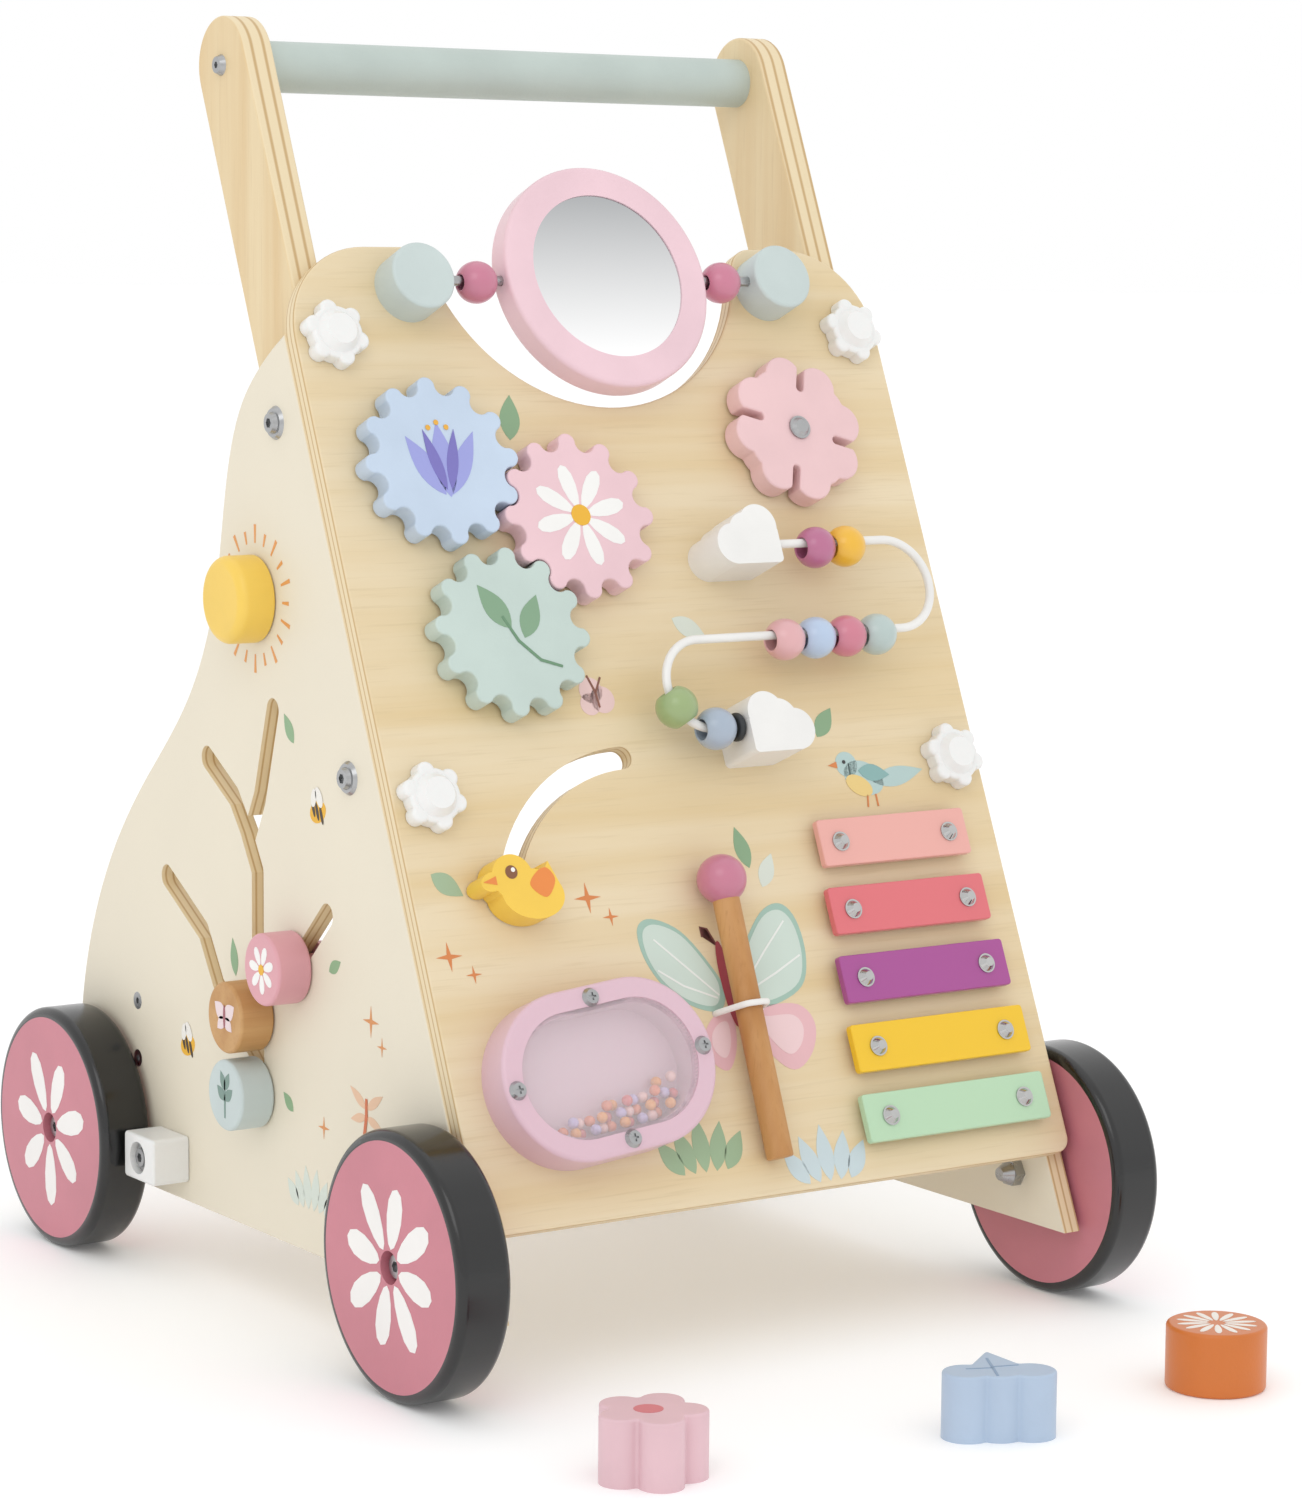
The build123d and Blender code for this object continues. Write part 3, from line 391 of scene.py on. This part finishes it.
for node, mat in finishes.items():
    dress(node, mat)
print("materials on", len(finishes), "nodes")


inks = {}


def ink(colour):
    if colour not in inks:
        inks[colour] = paint("ink" + colour[1:], colour, 0.5, 0.0, 0.05, 0.03)
    return inks[colour]


def leafLine(x, y, length, width, angle, steps=10):
    # a pointed leaf that starts at x, y
    side = [(t / steps, sin(pi * (t / steps) ** 0.85)) for t in range(steps + 1)]
    line = [(a * length, b * width / 2) for a, b in side]
    line += [(a * length, -b * width / 2) for a, b in reversed(side[1:-1])]
    c, s = cos(radians(angle)), sin(radians(angle))
    return [(x + a * c - b * s, y + a * s + b * c) for a, b in line]


def petalLine(x, y, inner, outer, width, angle, steps=12):
    # a petal that is widest near its round tip
    line = []
    for k in range(steps):
        t = 2 * pi * k / steps
        along = (inner + outer) / 2 - cos(t) * (outer - inner) / 2
        line.append((along, sin(t) * width / 2 * (0.62 + 0.38 * (along - inner) / (outer - inner))))
    c, s = cos(radians(angle)), sin(radians(angle))
    return [(x + a * c - b * s, y + a * s + b * c) for a, b in line]


def discLine(x, y, r, squash=1.0, angle=0.0, steps=24):
    c, s = cos(radians(angle)), sin(radians(angle))
    return [(x + r * cos(t) * c - r * squash * sin(t) * s, y + r * cos(t) * s + r * squash * sin(t) * c)
            for t in (2 * pi * k / steps for k in range(steps))]


def starLine(x, y, r, points=4, waist=0.3, angle=90):
    line = []
    for k in range(2 * points):
        size = r if k % 2 == 0 else r * waist
        t = radians(angle + 180 * k / points)
        line.append((x + size * cos(t), y + size * sin(t)))
    return line


def strokeLine(points, width):
    # a tapering stroke along a few points
    left, right = [], []
    for i, (x, y) in enumerate(points):
        ax, ay = points[max(0, i - 1)]
        bx, by = points[min(len(points) - 1, i + 1)]
        size = sqrt((bx - ax) ** 2 + (by - ay) ** 2) or 1
        nx, ny = -(by - ay) / size, (bx - ax) / size
        half = width / 2 * (0.55 + 0.45 * sin(pi * (i + 1) / (len(points) + 1)))
        left.append((x + nx * half, y + ny * half))
        right.append((x - nx * half, y - ny * half))
    return left + right[::-1]


def printed(name, lines, colour, place, body, h=0.0, thick=0.12):
    # thin film of ink, one closed sliver for each outline
    mesh = bpy.data.meshes.new(name)
    bm = bmesh.new()
    for line in lines:
        low = [bm.verts.new(place(a, b, h + 0.01)) for a, b in line]
        high = [bm.verts.new(place(a, b, h + thick)) for a, b in line]
        bm.faces.new(low[::-1])
        bm.faces.new(high)
        for i in range(len(line)):
            j = (i + 1) % len(line)
            bm.faces.new((low[i], low[j], high[j], high[i]))
    bmesh.ops.triangulate(bm, faces=[f for f in bm.faces if len(f.verts) > 4])
    bmesh.ops.recalc_face_normals(bm, faces=bm.faces)
    bm.to_mesh(mesh)
    bm.free()
    obj = bpy.data.objects.new(name, mesh)
    bpy.context.scene.collection.objects.link(obj)
    mesh.materials.append(ink(colour))
    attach(obj, body)
    return obj


def daisy(x, y, r, petals, width, turn, inner=1.5):
    return [petalLine(x, y, inner, r, width, turn + 360 * k / petals) for k in range(petals)]


boardPrints = {
    "leafGreen": "#8fb08a", "sideLeaf": "#a9c19f", "paleLeaf": "#dfe6da", "coral": "#e08a4e",
    "blossom": "#f0cfcb", "twig": "#8c5a4a", "bird": "#bcd5d2", "breast": "#f2d489",
    "birdWing": "#8fb9b6", "birdEye": "#3d3a3a", "wingRim": "#a9c9ba", "wing": "#d5e5da",
    "wingVein": "#f4f7f2", "lowerWing": "#efbfc4", "lowerSpot": "#f6d6d8", "body": "#b14a55",
    "antenna": "#7c4a48", "greenTuft": "#a3bd98", "blueTuft": "#cfdfe3",
}
printed("print_leaves", [leafLine(-52, 371, 19, 9, 78), leafLine(60, 244, 15, 7.5, 50),
                         leafLine(14, 194, 17, 7, 100)],
        boardPrints["leafGreen"], onBoard, "root")
printed("print_side_leaf", [leafLine(-127, 203, 15, 8, -38)], boardPrints["sideLeaf"], onBoard, "root")
printed("print_pale_leaves", [leafLine(4, 296, 17, 8, -32), leafLine(18, 186, 15, 7, 60)],
        boardPrints["paleLeaf"], onBoard, "root")
printed("print_blossom", [discLine(-40.5, 269, 5.2), discLine(-36, 265, 5.4), discLine(-42, 263.5, 4.4)],
        boardPrints["blossom"], onBoard, "root")
printed("print_twig", [strokeLine([(-38, 262), (-38.5, 268), (-41, 275)], 1.0),
                       strokeLine([(-38.5, 268), (-35, 274)], 0.9)],
        boardPrints["twig"], onBoard, "root", 0.1)
printed("print_sparkles", [starLine(-62, 188.5, 6, 4, 0.22), starLine(-53.5, 180.4, 3.6, 4, 0.22),
                           starLine(-126.5, 171.6, 5.6, 4, 0.22),
                           starLine(-117.6, 164, 3.4, 4, 0.22)], boardPrints["coral"], onBoard, "root")

# a generic small bird above the top bar
printed("print_bird", [discLine(78, 226, 9.5, 0.72, -22), discLine(71, 232, 5.2),
                       leafLine(82, 224, 26, 8, 8)], boardPrints["bird"], onBoard, "root")
printed("print_bird_breast", [discLine(75, 223, 6.5, 0.6, -30)], boardPrints["breast"],
        onBoard, "root", 0.1)
printed("print_bird_wing", [leafLine(76, 229, 15, 7, -10)], boardPrints["birdWing"], onBoard, "root", 0.15)
printed("print_bird_beak", [[(66.4, 233.4), (62, 232), (66.4, 230.6)],
                            strokeLine([(78, 219), (77, 214)], 0.8),
                            strokeLine([(82, 219), (82, 214)], 0.8)],
        boardPrints["coral"], onBoard, "root", 0.1)
printed("print_bird_eye", [discLine(70, 233, 0.8, 1, 0, 12)], boardPrints["birdEye"], onBoard, "root", 0.2)

# a generic butterfly round the mallet
upperWings = [[(-10, 148), (-14, 158), (-24, 172), (-36, 178), (-43, 175), (-43, 164), (-37, 152),
               (-26, 143), (-14, 140)],
              [(-6, 148), (2, 162), (14, 176), (24, 179), (30, 172), (31, 158), (26, 146), (12, 140),
               (-2, 140)]]


def shrunk(line, factor):
    cx = sum(p[0] for p in line) / len(line)
    cy = sum(p[1] for p in line) / len(line)
    return [(cx + (x - cx) * factor, cy + (y - cy) * factor) for x, y in line]


def curveValue(a, b, c, d, t):
    # Catmull-Rom curve between b and c
    return 0.5 * (2 * b + (c - a) * t + (2 * a - 5 * b + 4 * c - d) * t * t
                  + (3 * b - a - 3 * c + d) * t ** 3)


def smooth(line, steps=5):
    # closed curve through the points
    out = []
    n = len(line)
    for i in range(n):
        a, b, c, d = (line[(i + k) % n] for k in (-1, 0, 1, 2))
        for k in range(steps):
            out.append(tuple(curveValue(a[m], b[m], c[m], d[m], k / steps) for m in (0, 1)))
    return out


printed("print_wing_rims", [smooth(w) for w in upperWings], boardPrints["wingRim"],
        onBoard, "root")
printed("print_wings", [smooth(shrunk(w, 0.88)) for w in upperWings], boardPrints["wing"],
        onBoard, "root", 0.1)
printed("print_wing_veins", [strokeLine([(-13, 146), (-24, 157), (-37, 170)], 0.8),
                             strokeLine([(-14, 145), (-28, 151), (-38, 158)], 0.8),
                             strokeLine([(-1, 148), (12, 161), (24, 172)], 0.8),
                             strokeLine([(0, 146), (15, 152), (28, 158)], 0.8)],
        boardPrints["wingVein"], onBoard, "root", 0.2)
lowerWings = [[(-9, 139), (-16, 139), (-23, 132), (-23, 122), (-16, 117), (-10, 126)],
              [(-5, 139), (6, 140), (22, 139), (28, 131), (24, 120), (14, 114), (4, 122)]]
printed("print_lower_wings", [smooth(w) for w in lowerWings], boardPrints["lowerWing"],
        onBoard, "root")
printed("print_lower_spots", [smooth(shrunk(w, 0.6)) for w in lowerWings], boardPrints["lowerSpot"],
        onBoard, "root", 0.1)
printed("print_butterfly_body", [discLine(-8, 150, 17, 0.16, 92)], boardPrints["body"],
        onBoard, "root", 0.15)
printed("print_antennae", [strokeLine([(-9, 165), (-12, 172), (-15, 173), (-15, 169)], 0.8)],
        boardPrints["antenna"], onBoard, "root", 0.1)


def tuft(x, s, height, blades=5):
    # blades of grass that fan out from one spot
    lines = []
    for k in range(blades):
        off = k - (blades - 1) / 2
        blade = height * (1 - 0.12 * abs(off))
        lines.append(leafLine(x + off * height * 0.22, s, blade, height * 0.34, 90 - off * 17))
    return lines


printed("print_green_tuft", tuft(-36, 80, 22), boardPrints["greenTuft"], onBoard, "root")
printed("print_blue_tuft", tuft(19, 70, 22), boardPrints["blueTuft"], onBoard, "root")
print("board prints")

# gears: crocus, daisy and leaves
gearTop = 10.5
blue = (-90.4, 360.0)
pinkAt = (-34.5, 336.1)
green = (-75.5, 291.2)
gearPrints = {
    "crocus": "#a3a8e6", "crocusHeart": "#7f78c4", "stamen": "#f2b544", "daisy": "#fbfaf7",
    "daisyEye": "#f2b931", "leaf": "#88ab8b", "stem": "#6f9676",
}
printed("print_crocus", [leafLine(blue[0] - 2, blue[1] - 14, 27, 9, 118),
                         leafLine(blue[0] + 1, blue[1] - 14, 29, 8, 60),
                         leafLine(blue[0], blue[1] - 15, 30, 10, 90)],
        gearPrints["crocus"], onBoard, "gear_blue", gearTop)
printed("print_crocus_heart", [leafLine(blue[0] - 1, blue[1] - 12, 25, 5, 103),
                               leafLine(blue[0] + 1, blue[1] - 12, 25, 5, 76)],
        gearPrints["crocusHeart"], onBoard, "gear_blue", gearTop + 0.1)
stamens = ((-4, 13), (0, 15), (4, 13))
printed("print_crocus_dots", [discLine(blue[0] + dx, blue[1] + ds, 1.1, 1, 0, 12) for dx, ds in stamens],
        gearPrints["stamen"], onBoard, "gear_blue", gearTop + 0.2)
printed("print_gear_daisy", daisy(*pinkAt, 21, 8, 8.0, 12, 3.2), gearPrints["daisy"],
        onBoard, "gear_pink", gearTop)
printed("print_gear_daisy_eye", [discLine(*pinkAt, 4.3)], gearPrints["daisyEye"],
        onBoard, "gear_pink", gearTop + 0.1)
printed("print_gear_leaves", [leafLine(green[0] - 1, green[1] + 1, 21, 9.5, 122),
                              leafLine(green[0] + 4, green[1] - 3, 19, 8.5, 62)],
        gearPrints["leaf"], onBoard, "gear_green", gearTop)
stem = [(green[0] + dx, green[1] + ds) for dx, ds in ((-4, 6), (1, -4), (9, -12), (18, -15))]
printed("print_gear_stem", [strokeLine(stem, 1.3)],
        gearPrints["stem"], onBoard, "gear_green", gearTop + 0.1)

# duck: wing, eye and beak
duckPrint = {
    "x": -95.2, "s": 193.8, "top": 12.0, "orange": "#f18f45", "eye": "#8a5a3c", "glint": "#fffdf8",
}


def onDuck(a, b, h=0.0):
    return onBoard(duckPrint["x"] + a, duckPrint["s"] + b, duckPrint["top"] + h)


printed("print_duck_wing", [smooth([(2, -1), (6, 4), (10.5, 5), (13, 0), (8, -6)])],
        duckPrint["orange"], onDuck, "duck")
printed("print_duck_eye", [discLine(-5, 4.6, 2.6, 1, 0, 20)], duckPrint["eye"], onDuck, "duck")
printed("print_duck_glint", [discLine(-4.2, 5.4, 0.9, 1, 0, 12)], duckPrint["glint"], onDuck, "duck", 0.1)
printed("print_duck_beak", [[(-17.8, 1.6), (-12, 0.2), (-12, 3.6)]], duckPrint["orange"], onDuck, "duck")
print("gear and duck prints")

# left side panel: sun rays, bees, leaves, sparkles, dragonfly
sun = (3.1, 280.0)
sidePrints = {
    "rays": "#eba35c", "bee": "#f2b931", "beeStripe": "#4a3b30", "beeWing": "#f6f3ec",
    "leaf": "#93b58c", "sparkle": "#e2995c", "dragonflyWing": "#efc7a6", "dragonfly": "#d9764a",
    "bush": "#dfe8dd",
}
printed("print_sun_rays", [[(sun[0] + r * cos(t + w), sun[1] + r * sin(t + w)) for r, w in
                            ((21.5, -0.02), (21.5 + reach, -0.03), (21.5 + reach, 0.03), (21.5, 0.02))]
                           for t, reach in ((2 * pi * k / 20, 7.2 if k % 2 else 5.0) for k in range(20))],
        sidePrints["rays"], onLeftPanel, "root")
for i, (y, z) in enumerate(((-45.6, 202.9), (60.8, 95.5))):
    bands = [discLine(y + d, z + d * 0.36, 3.7, 0.26, 70, 14) for d in (-2.8, 0.4, 3.4)]
    wings = [discLine(y - 1, z + 5.6, 4.2, 0.55, 60, 16), discLine(y + 3, z + 5.0, 3.6, 0.55, 100, 16)]
    printed(f"print_bee_{i}", [discLine(y, z, 6.2, 0.68, -20)], sidePrints["bee"], onLeftPanel, "root")
    printed(f"print_bee_stripes_{i}", bands, sidePrints["beeStripe"], onLeftPanel, "root", 0.1)
    printed(f"print_bee_wings_{i}", wings, sidePrints["beeWing"], onLeftPanel, "root", 0.15)
printed("print_side_leaves", [leafLine(-27, 227, 13, 6, 55), leafLine(20, 130, 15, 6, 80),
                              leafLine(-54, 143, 10, 5, 150), leafLine(-26, 84, 10, 5, 40)],
        sidePrints["leaf"], onLeftPanel, "root")
printed("print_side_sparkles", [starLine(-85.3, 128.8, 6, 4, 0.2), starLine(-93.4, 120.3, 3.6, 4, 0.2),
                                starLine(-49.8, 82, 4.4, 4, 0.2)],
        sidePrints["sparkle"], onLeftPanel, "root")
printed("print_dragonfly", [leafLine(-82, 95, 14, 4, 150), leafLine(-82, 95, 14, 4, 30),
                            leafLine(-82, 92, 12, 3.6, 195), leafLine(-82, 92, 12, 3.6, -12)],
        sidePrints["dragonflyWing"], onLeftPanel, "root")
printed("print_dragonfly_body", [strokeLine([(-82, 99), (-82, 92), (-80, 82), (-77, 74)], 2.0)],
        sidePrints["dragonfly"], onLeftPanel, "root", 0.1)
printed("print_bush", tuft(-40, 48, 18, 6), sidePrints["bush"], onLeftPanel, "root")


# tree knobs: daisy, butterfly and sprig
knobPrints = {
    "top": 14.8, "daisy": "#fbfaf7", "daisyEye": "#f2b931", "butterfly": "#f3dfe0",
    "butterflyBody": "#a8646e", "sprig": "#7e9a90",
}


def onKnob(kind):
    low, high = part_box("tree_knob_" + kind)
    y, z = (low[1] + high[1]) * 500, (low[2] + high[2]) * 500
    return lambda a, b, h=0.0: onLeftPanel(y + a, z + b, knobPrints["top"] + h)


printed("print_knob_daisy", daisy(0, 0, 9.5, 7, 4.6, 8, 1.8),
        knobPrints["daisy"], onKnob("daisy"), "tree_knob_daisy")
printed("print_knob_daisy_eye", [discLine(0, 0, 2.1, 1, 0, 16)],
        knobPrints["daisyEye"], onKnob("daisy"), "tree_knob_daisy", 0.1)
printed("print_knob_butterfly", [leafLine(0, 0, 9.5, 6.5, 35), leafLine(0, 0, 9.5, 6.5, 145),
                                 leafLine(0, 0, 7.5, 5, -40), leafLine(0, 0, 7.5, 5, 220)],
        knobPrints["butterfly"], onKnob("butterfly"), "tree_knob_butterfly")
printed("print_knob_butterfly_body", [discLine(0, 0.5, 4.6, 0.2, 90, 16)],
        knobPrints["butterflyBody"], onKnob("butterfly"), "tree_knob_butterfly", 0.1)
printed("print_knob_sprig", [leafLine(0, -2, 8, 4.4, 40), leafLine(0, -2, 8, 4.4, 140),
                             leafLine(0, 2, 8, 4, 65), leafLine(0, 2, 8, 4, 115),
                             strokeLine([(0, -9), (0, -2), (0, 4)], 1.2)],
        knobPrints["sprig"], onKnob("sprig"), "tree_knob_sprig")
print("side prints")

# wheels: white daisies round the hub bolt
wheelDaisy = {
    "frontPetals": 8, "rearPetals": 7, "inner": 7.0, "outer": 33.0, "shorter": 0.92, "width": 12.5,
    "turn": 11, "axleY": 139.1, "white": "#faf8f5",
}


def wheelPetals(count):
    lines = []
    for k in range(count):
        reach = wheelDaisy["outer"] * (1 if k % 2 else wheelDaisy["shorter"])
        angle = wheelDaisy["turn"] + 360 * k / count
        lines.append(petalLine(0, 0, wheelDaisy["inner"], reach, wheelDaisy["width"], angle))
    return lines


for end, y in (("front", -wheelDaisy["axleY"]), ("rear", wheelDaisy["axleY"])):
    petals = wheelPetals(wheelDaisy[end + "Petals"])
    for hand, side in (("left", -1), ("right", 1)):
        printed(f"print_wheel_{end}_{hand}", petals,
                wheelDaisy["white"], onWheel(side, y), f"wheel_{end}_{hand}")
print("wheel prints")


# loose pieces: sunburst, raised centre and leaf veins
piecePrints = {"rays": 14, "sunburst": "#fbf6ee", "centre": "#dd7f86", "veins": "#93acca"}


def onPiece(node):
    low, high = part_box(node)
    cx, cy, top = (low[0] + high[0]) / 2, (low[1] + high[1]) / 2, high[2]
    return lambda a, b, h=0.0: Vector((cx + a / 1000, cy + b / 1000, top + h / 1000))


rays = piecePrints["rays"]
printed("print_piece_sunburst", [petalLine(0, 0, 3.0, 15.0, 3.2, 360 * k / rays) for k in range(rays)],
        piecePrints["sunburst"], onPiece("sorter_round"), "sorter_round")
printed("print_piece_centre", [discLine(0, 0, 5.2)],
        piecePrints["centre"], onPiece("sorter_flower"), "sorter_flower")
printed("print_piece_veins", [strokeLine([(-5, -9), (0, 0), (6, 11)], 1.1),
                              strokeLine([(0, 0), (-9, 4)], 0.9), strokeLine([(1, 1), (10, -2)], 0.9)],
        piecePrints["veins"], onPiece("sorter_leaf"), "sorter_leaf")

# loose beads in the box, in rows along the lower edge of its window
boxBeads = {
    "radius": 0.0021, "gap": 0.15, "rows": ((13, 3.0), (12, 5.0), (7, 11.0)), "edgeGap": 0.4,
    "x": -77.8, "s": 121.0, "turn": 5.6, "windowHalf": 14.6, "windowRadius": 22.5,
    "depth": 7.4, "spread": 2.2,
    "colours": ["#f0875f", "#f5a24a", "#e56b6f", "#c9b3e0", "#f6c7c4"],
}


def beadTree(mat):
    tree = bpy.data.node_groups.new("ballsAtPoints", "GeometryNodeTree")
    tree.interface.new_socket("Geometry", in_out="INPUT", socket_type="NodeSocketGeometry")
    radius = tree.interface.new_socket("Ball radius", in_out="INPUT", socket_type="NodeSocketFloat")
    tree.interface.new_socket("Geometry", in_out="OUTPUT", socket_type="NodeSocketGeometry")
    start = tree.nodes.new("NodeGroupInput")
    end = tree.nodes.new("NodeGroupOutput")
    toPoints = tree.nodes.new("GeometryNodeMeshToPoints")
    ball = tree.nodes.new("GeometryNodeMeshIcoSphere")
    ball.inputs["Subdivisions"].default_value = 3
    instance = tree.nodes.new("GeometryNodeInstanceOnPoints")
    real = tree.nodes.new("GeometryNodeRealizeInstances")
    coat = tree.nodes.new("GeometryNodeSetMaterial")
    coat.inputs["Material"].default_value = mat
    smoothNode = tree.nodes.new("GeometryNodeSetShadeSmooth")
    link = tree.links.new
    link(start.outputs["Geometry"], toPoints.inputs["Mesh"])
    link(toPoints.outputs["Points"], instance.inputs["Points"])
    link(start.outputs["Ball radius"], ball.inputs["Radius"])
    link(ball.outputs["Mesh"], instance.inputs["Instance"])
    link(instance.outputs["Instances"], real.inputs["Geometry"])
    link(real.outputs["Geometry"], smoothNode.inputs["Geometry"])
    link(smoothNode.outputs["Geometry"], coat.inputs["Geometry"])
    link(coat.outputs["Geometry"], end.inputs["Geometry"])
    return tree, radius.identifier


def ballsPiece(name, places, colour):
    mesh = bpy.data.meshes.new(name + "Points")
    mesh.from_pydata([tuple(p) for p in places], [], [])
    carrier = bpy.data.objects.new(name + "Carrier", mesh)
    bpy.context.scene.collection.objects.link(carrier)
    tree, identifier = beadTree(moulded(name + "Plastic", colour, 0.25, 0.15))
    modifier = carrier.modifiers.new("balls", "NODES")
    modifier.node_group = tree
    modifier[identifier] = boxBeads["radius"]
    evaluated = carrier.evaluated_get(bpy.context.evaluated_depsgraph_get())
    made = bpy.data.meshes.new_from_object(evaluated)
    carrier.modifiers.remove(modifier)
    bpy.data.objects.remove(carrier)
    piece = bpy.data.objects.new(name, made)
    bpy.context.scene.collection.objects.link(piece)
    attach(piece, "root")
    return piece


def boxBeadPlaces():
    turn = radians(boxBeads["turn"])
    r = boxBeads["radius"] * 1000
    places = []
    for row, (count, shift) in enumerate(boxBeads["rows"]):
        for k in range(count):
            along = (k - (count - 1) / 2) * (2 * r + boxBeads["gap"]) + shift
            edge = boxBeads["windowRadius"] - r - boxBeads["edgeGap"] - row * (1.8 * r)
            reach = max(0.0, abs(along) - boxBeads["windowHalf"])
            if reach >= edge:
                continue
            down = -sqrt(edge ** 2 - reach ** 2)
            x = boxBeads["x"] + along * cos(turn) - down * sin(turn)
            s = boxBeads["s"] + along * sin(turn) + down * cos(turn)
            h = boxBeads["depth"] + boxBeads["spread"] * sin(2.4 * k + 1.3 * row)
            places.append(onBoard(x, s, h))
    return places


spots = boxBeadPlaces()
for i, colour in enumerate(boxBeads["colours"]):
    ballsPiece(f"box_beads_{i}", spots[i::len(boxBeads["colours"])], colour)
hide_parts("bead_box_beads")
print("box beads", len(spots))


# a plain white floor out to the horizon
stage = {"radius": 40.0, "white": 0.97, "glow": 0.08}


def makeStage():
    mesh = bpy.data.meshes.new("studioFloor")
    bm = bmesh.new()
    rim = [radians(angle) for angle in range(0, 360, 6)]
    bm.faces.new([bm.verts.new((stage["radius"] * cos(a), stage["radius"] * sin(a), 0)) for a in rim])
    bm.to_mesh(mesh)
    bm.free()
    floor = bpy.data.objects.new("studioFloor", mesh)
    bpy.context.scene.collection.objects.link(floor)
    mat, tree, shader = newMaterial("paleFloor")
    shader.inputs["Base Color"].default_value = (stage["white"], stage["white"], stage["white"], 1)
    shader.inputs["Roughness"].default_value = 0.7
    shader.inputs["Emission Color"].default_value = (1, 1, 1, 1)
    shader.inputs["Emission Strength"].default_value = stage["glow"]
    mesh.materials.append(mat)


studio = {
    "worldStrength": 1.0, "keyPower": 6.0, "fillPower": 0.5, "topPower": 1.5,
    "keyPlace": (-1.3, -1.3, 1.7), "fillPlace": (1.6, -1.0, 1.1), "topPlace": (0.0, 0.3, 2.0),
    "keySize": 1.2, "fillSize": 1.4, "topSize": 1.6,
}


def areaLight(name, place, target, size, power):
    data = bpy.data.lights.new(name, "AREA")
    data.shape = "RECTANGLE"
    data.size = size
    data.size_y = size
    data.energy = power
    lamp = bpy.data.objects.new(name, data)
    bpy.context.scene.collection.objects.link(lamp)
    lamp.location = place
    lamp.rotation_euler = (Vector(target) - Vector(place)).to_track_quat("-Z", "Y").to_euler()


def makeLights():
    world = bpy.data.worlds.new("studioWorld")
    bpy.context.scene.world = world
    world.use_nodes = True
    back = world.node_tree.nodes["Background"]
    back.inputs["Color"].default_value = (1, 1, 1, 1)
    back.inputs["Strength"].default_value = studio["worldStrength"]
    for kind, target in (("key", (0, 0, 0.2)), ("fill", (0, 0, 0.2)), ("top", (0, 0, 0))):
        size, power = studio[kind + "Size"], studio[kind + "Power"]
        areaLight(kind + "Light", studio[kind + "Place"], target, size, power)


view = {"yaw": 0.5962, "pitch": 0.1227, "roll": 0.0082, "lens": 97.75, "place": (-0.8892, -1.3770, 0.4154)}


def makeCamera():
    yaw, pitch, roll = view["yaw"], view["pitch"], view["roll"]
    forward = Vector((sin(yaw) * cos(pitch), cos(yaw) * cos(pitch), -sin(pitch)))
    level = Vector((cos(yaw), -sin(yaw), 0))
    rise = level.cross(forward)
    right = level * cos(roll) + rise * sin(roll)
    top = rise * cos(roll) - level * sin(roll)
    data = bpy.data.cameras.new("studioCamera")
    data.sensor_width = 36
    data.lens = view["lens"]
    data.clip_end = 50
    camera = bpy.data.objects.new("studioCamera", data)
    bpy.context.scene.collection.objects.link(camera)
    turn = Matrix((right, top, -forward)).transposed().to_4x4()
    camera.matrix_world = Matrix.Translation(view["place"]) @ turn
    bpy.context.scene.camera = camera


makeStage()
makeLights()
makeCamera()
bpy.context.scene.view_settings.view_transform = "Standard"
print("stage, lights and camera")
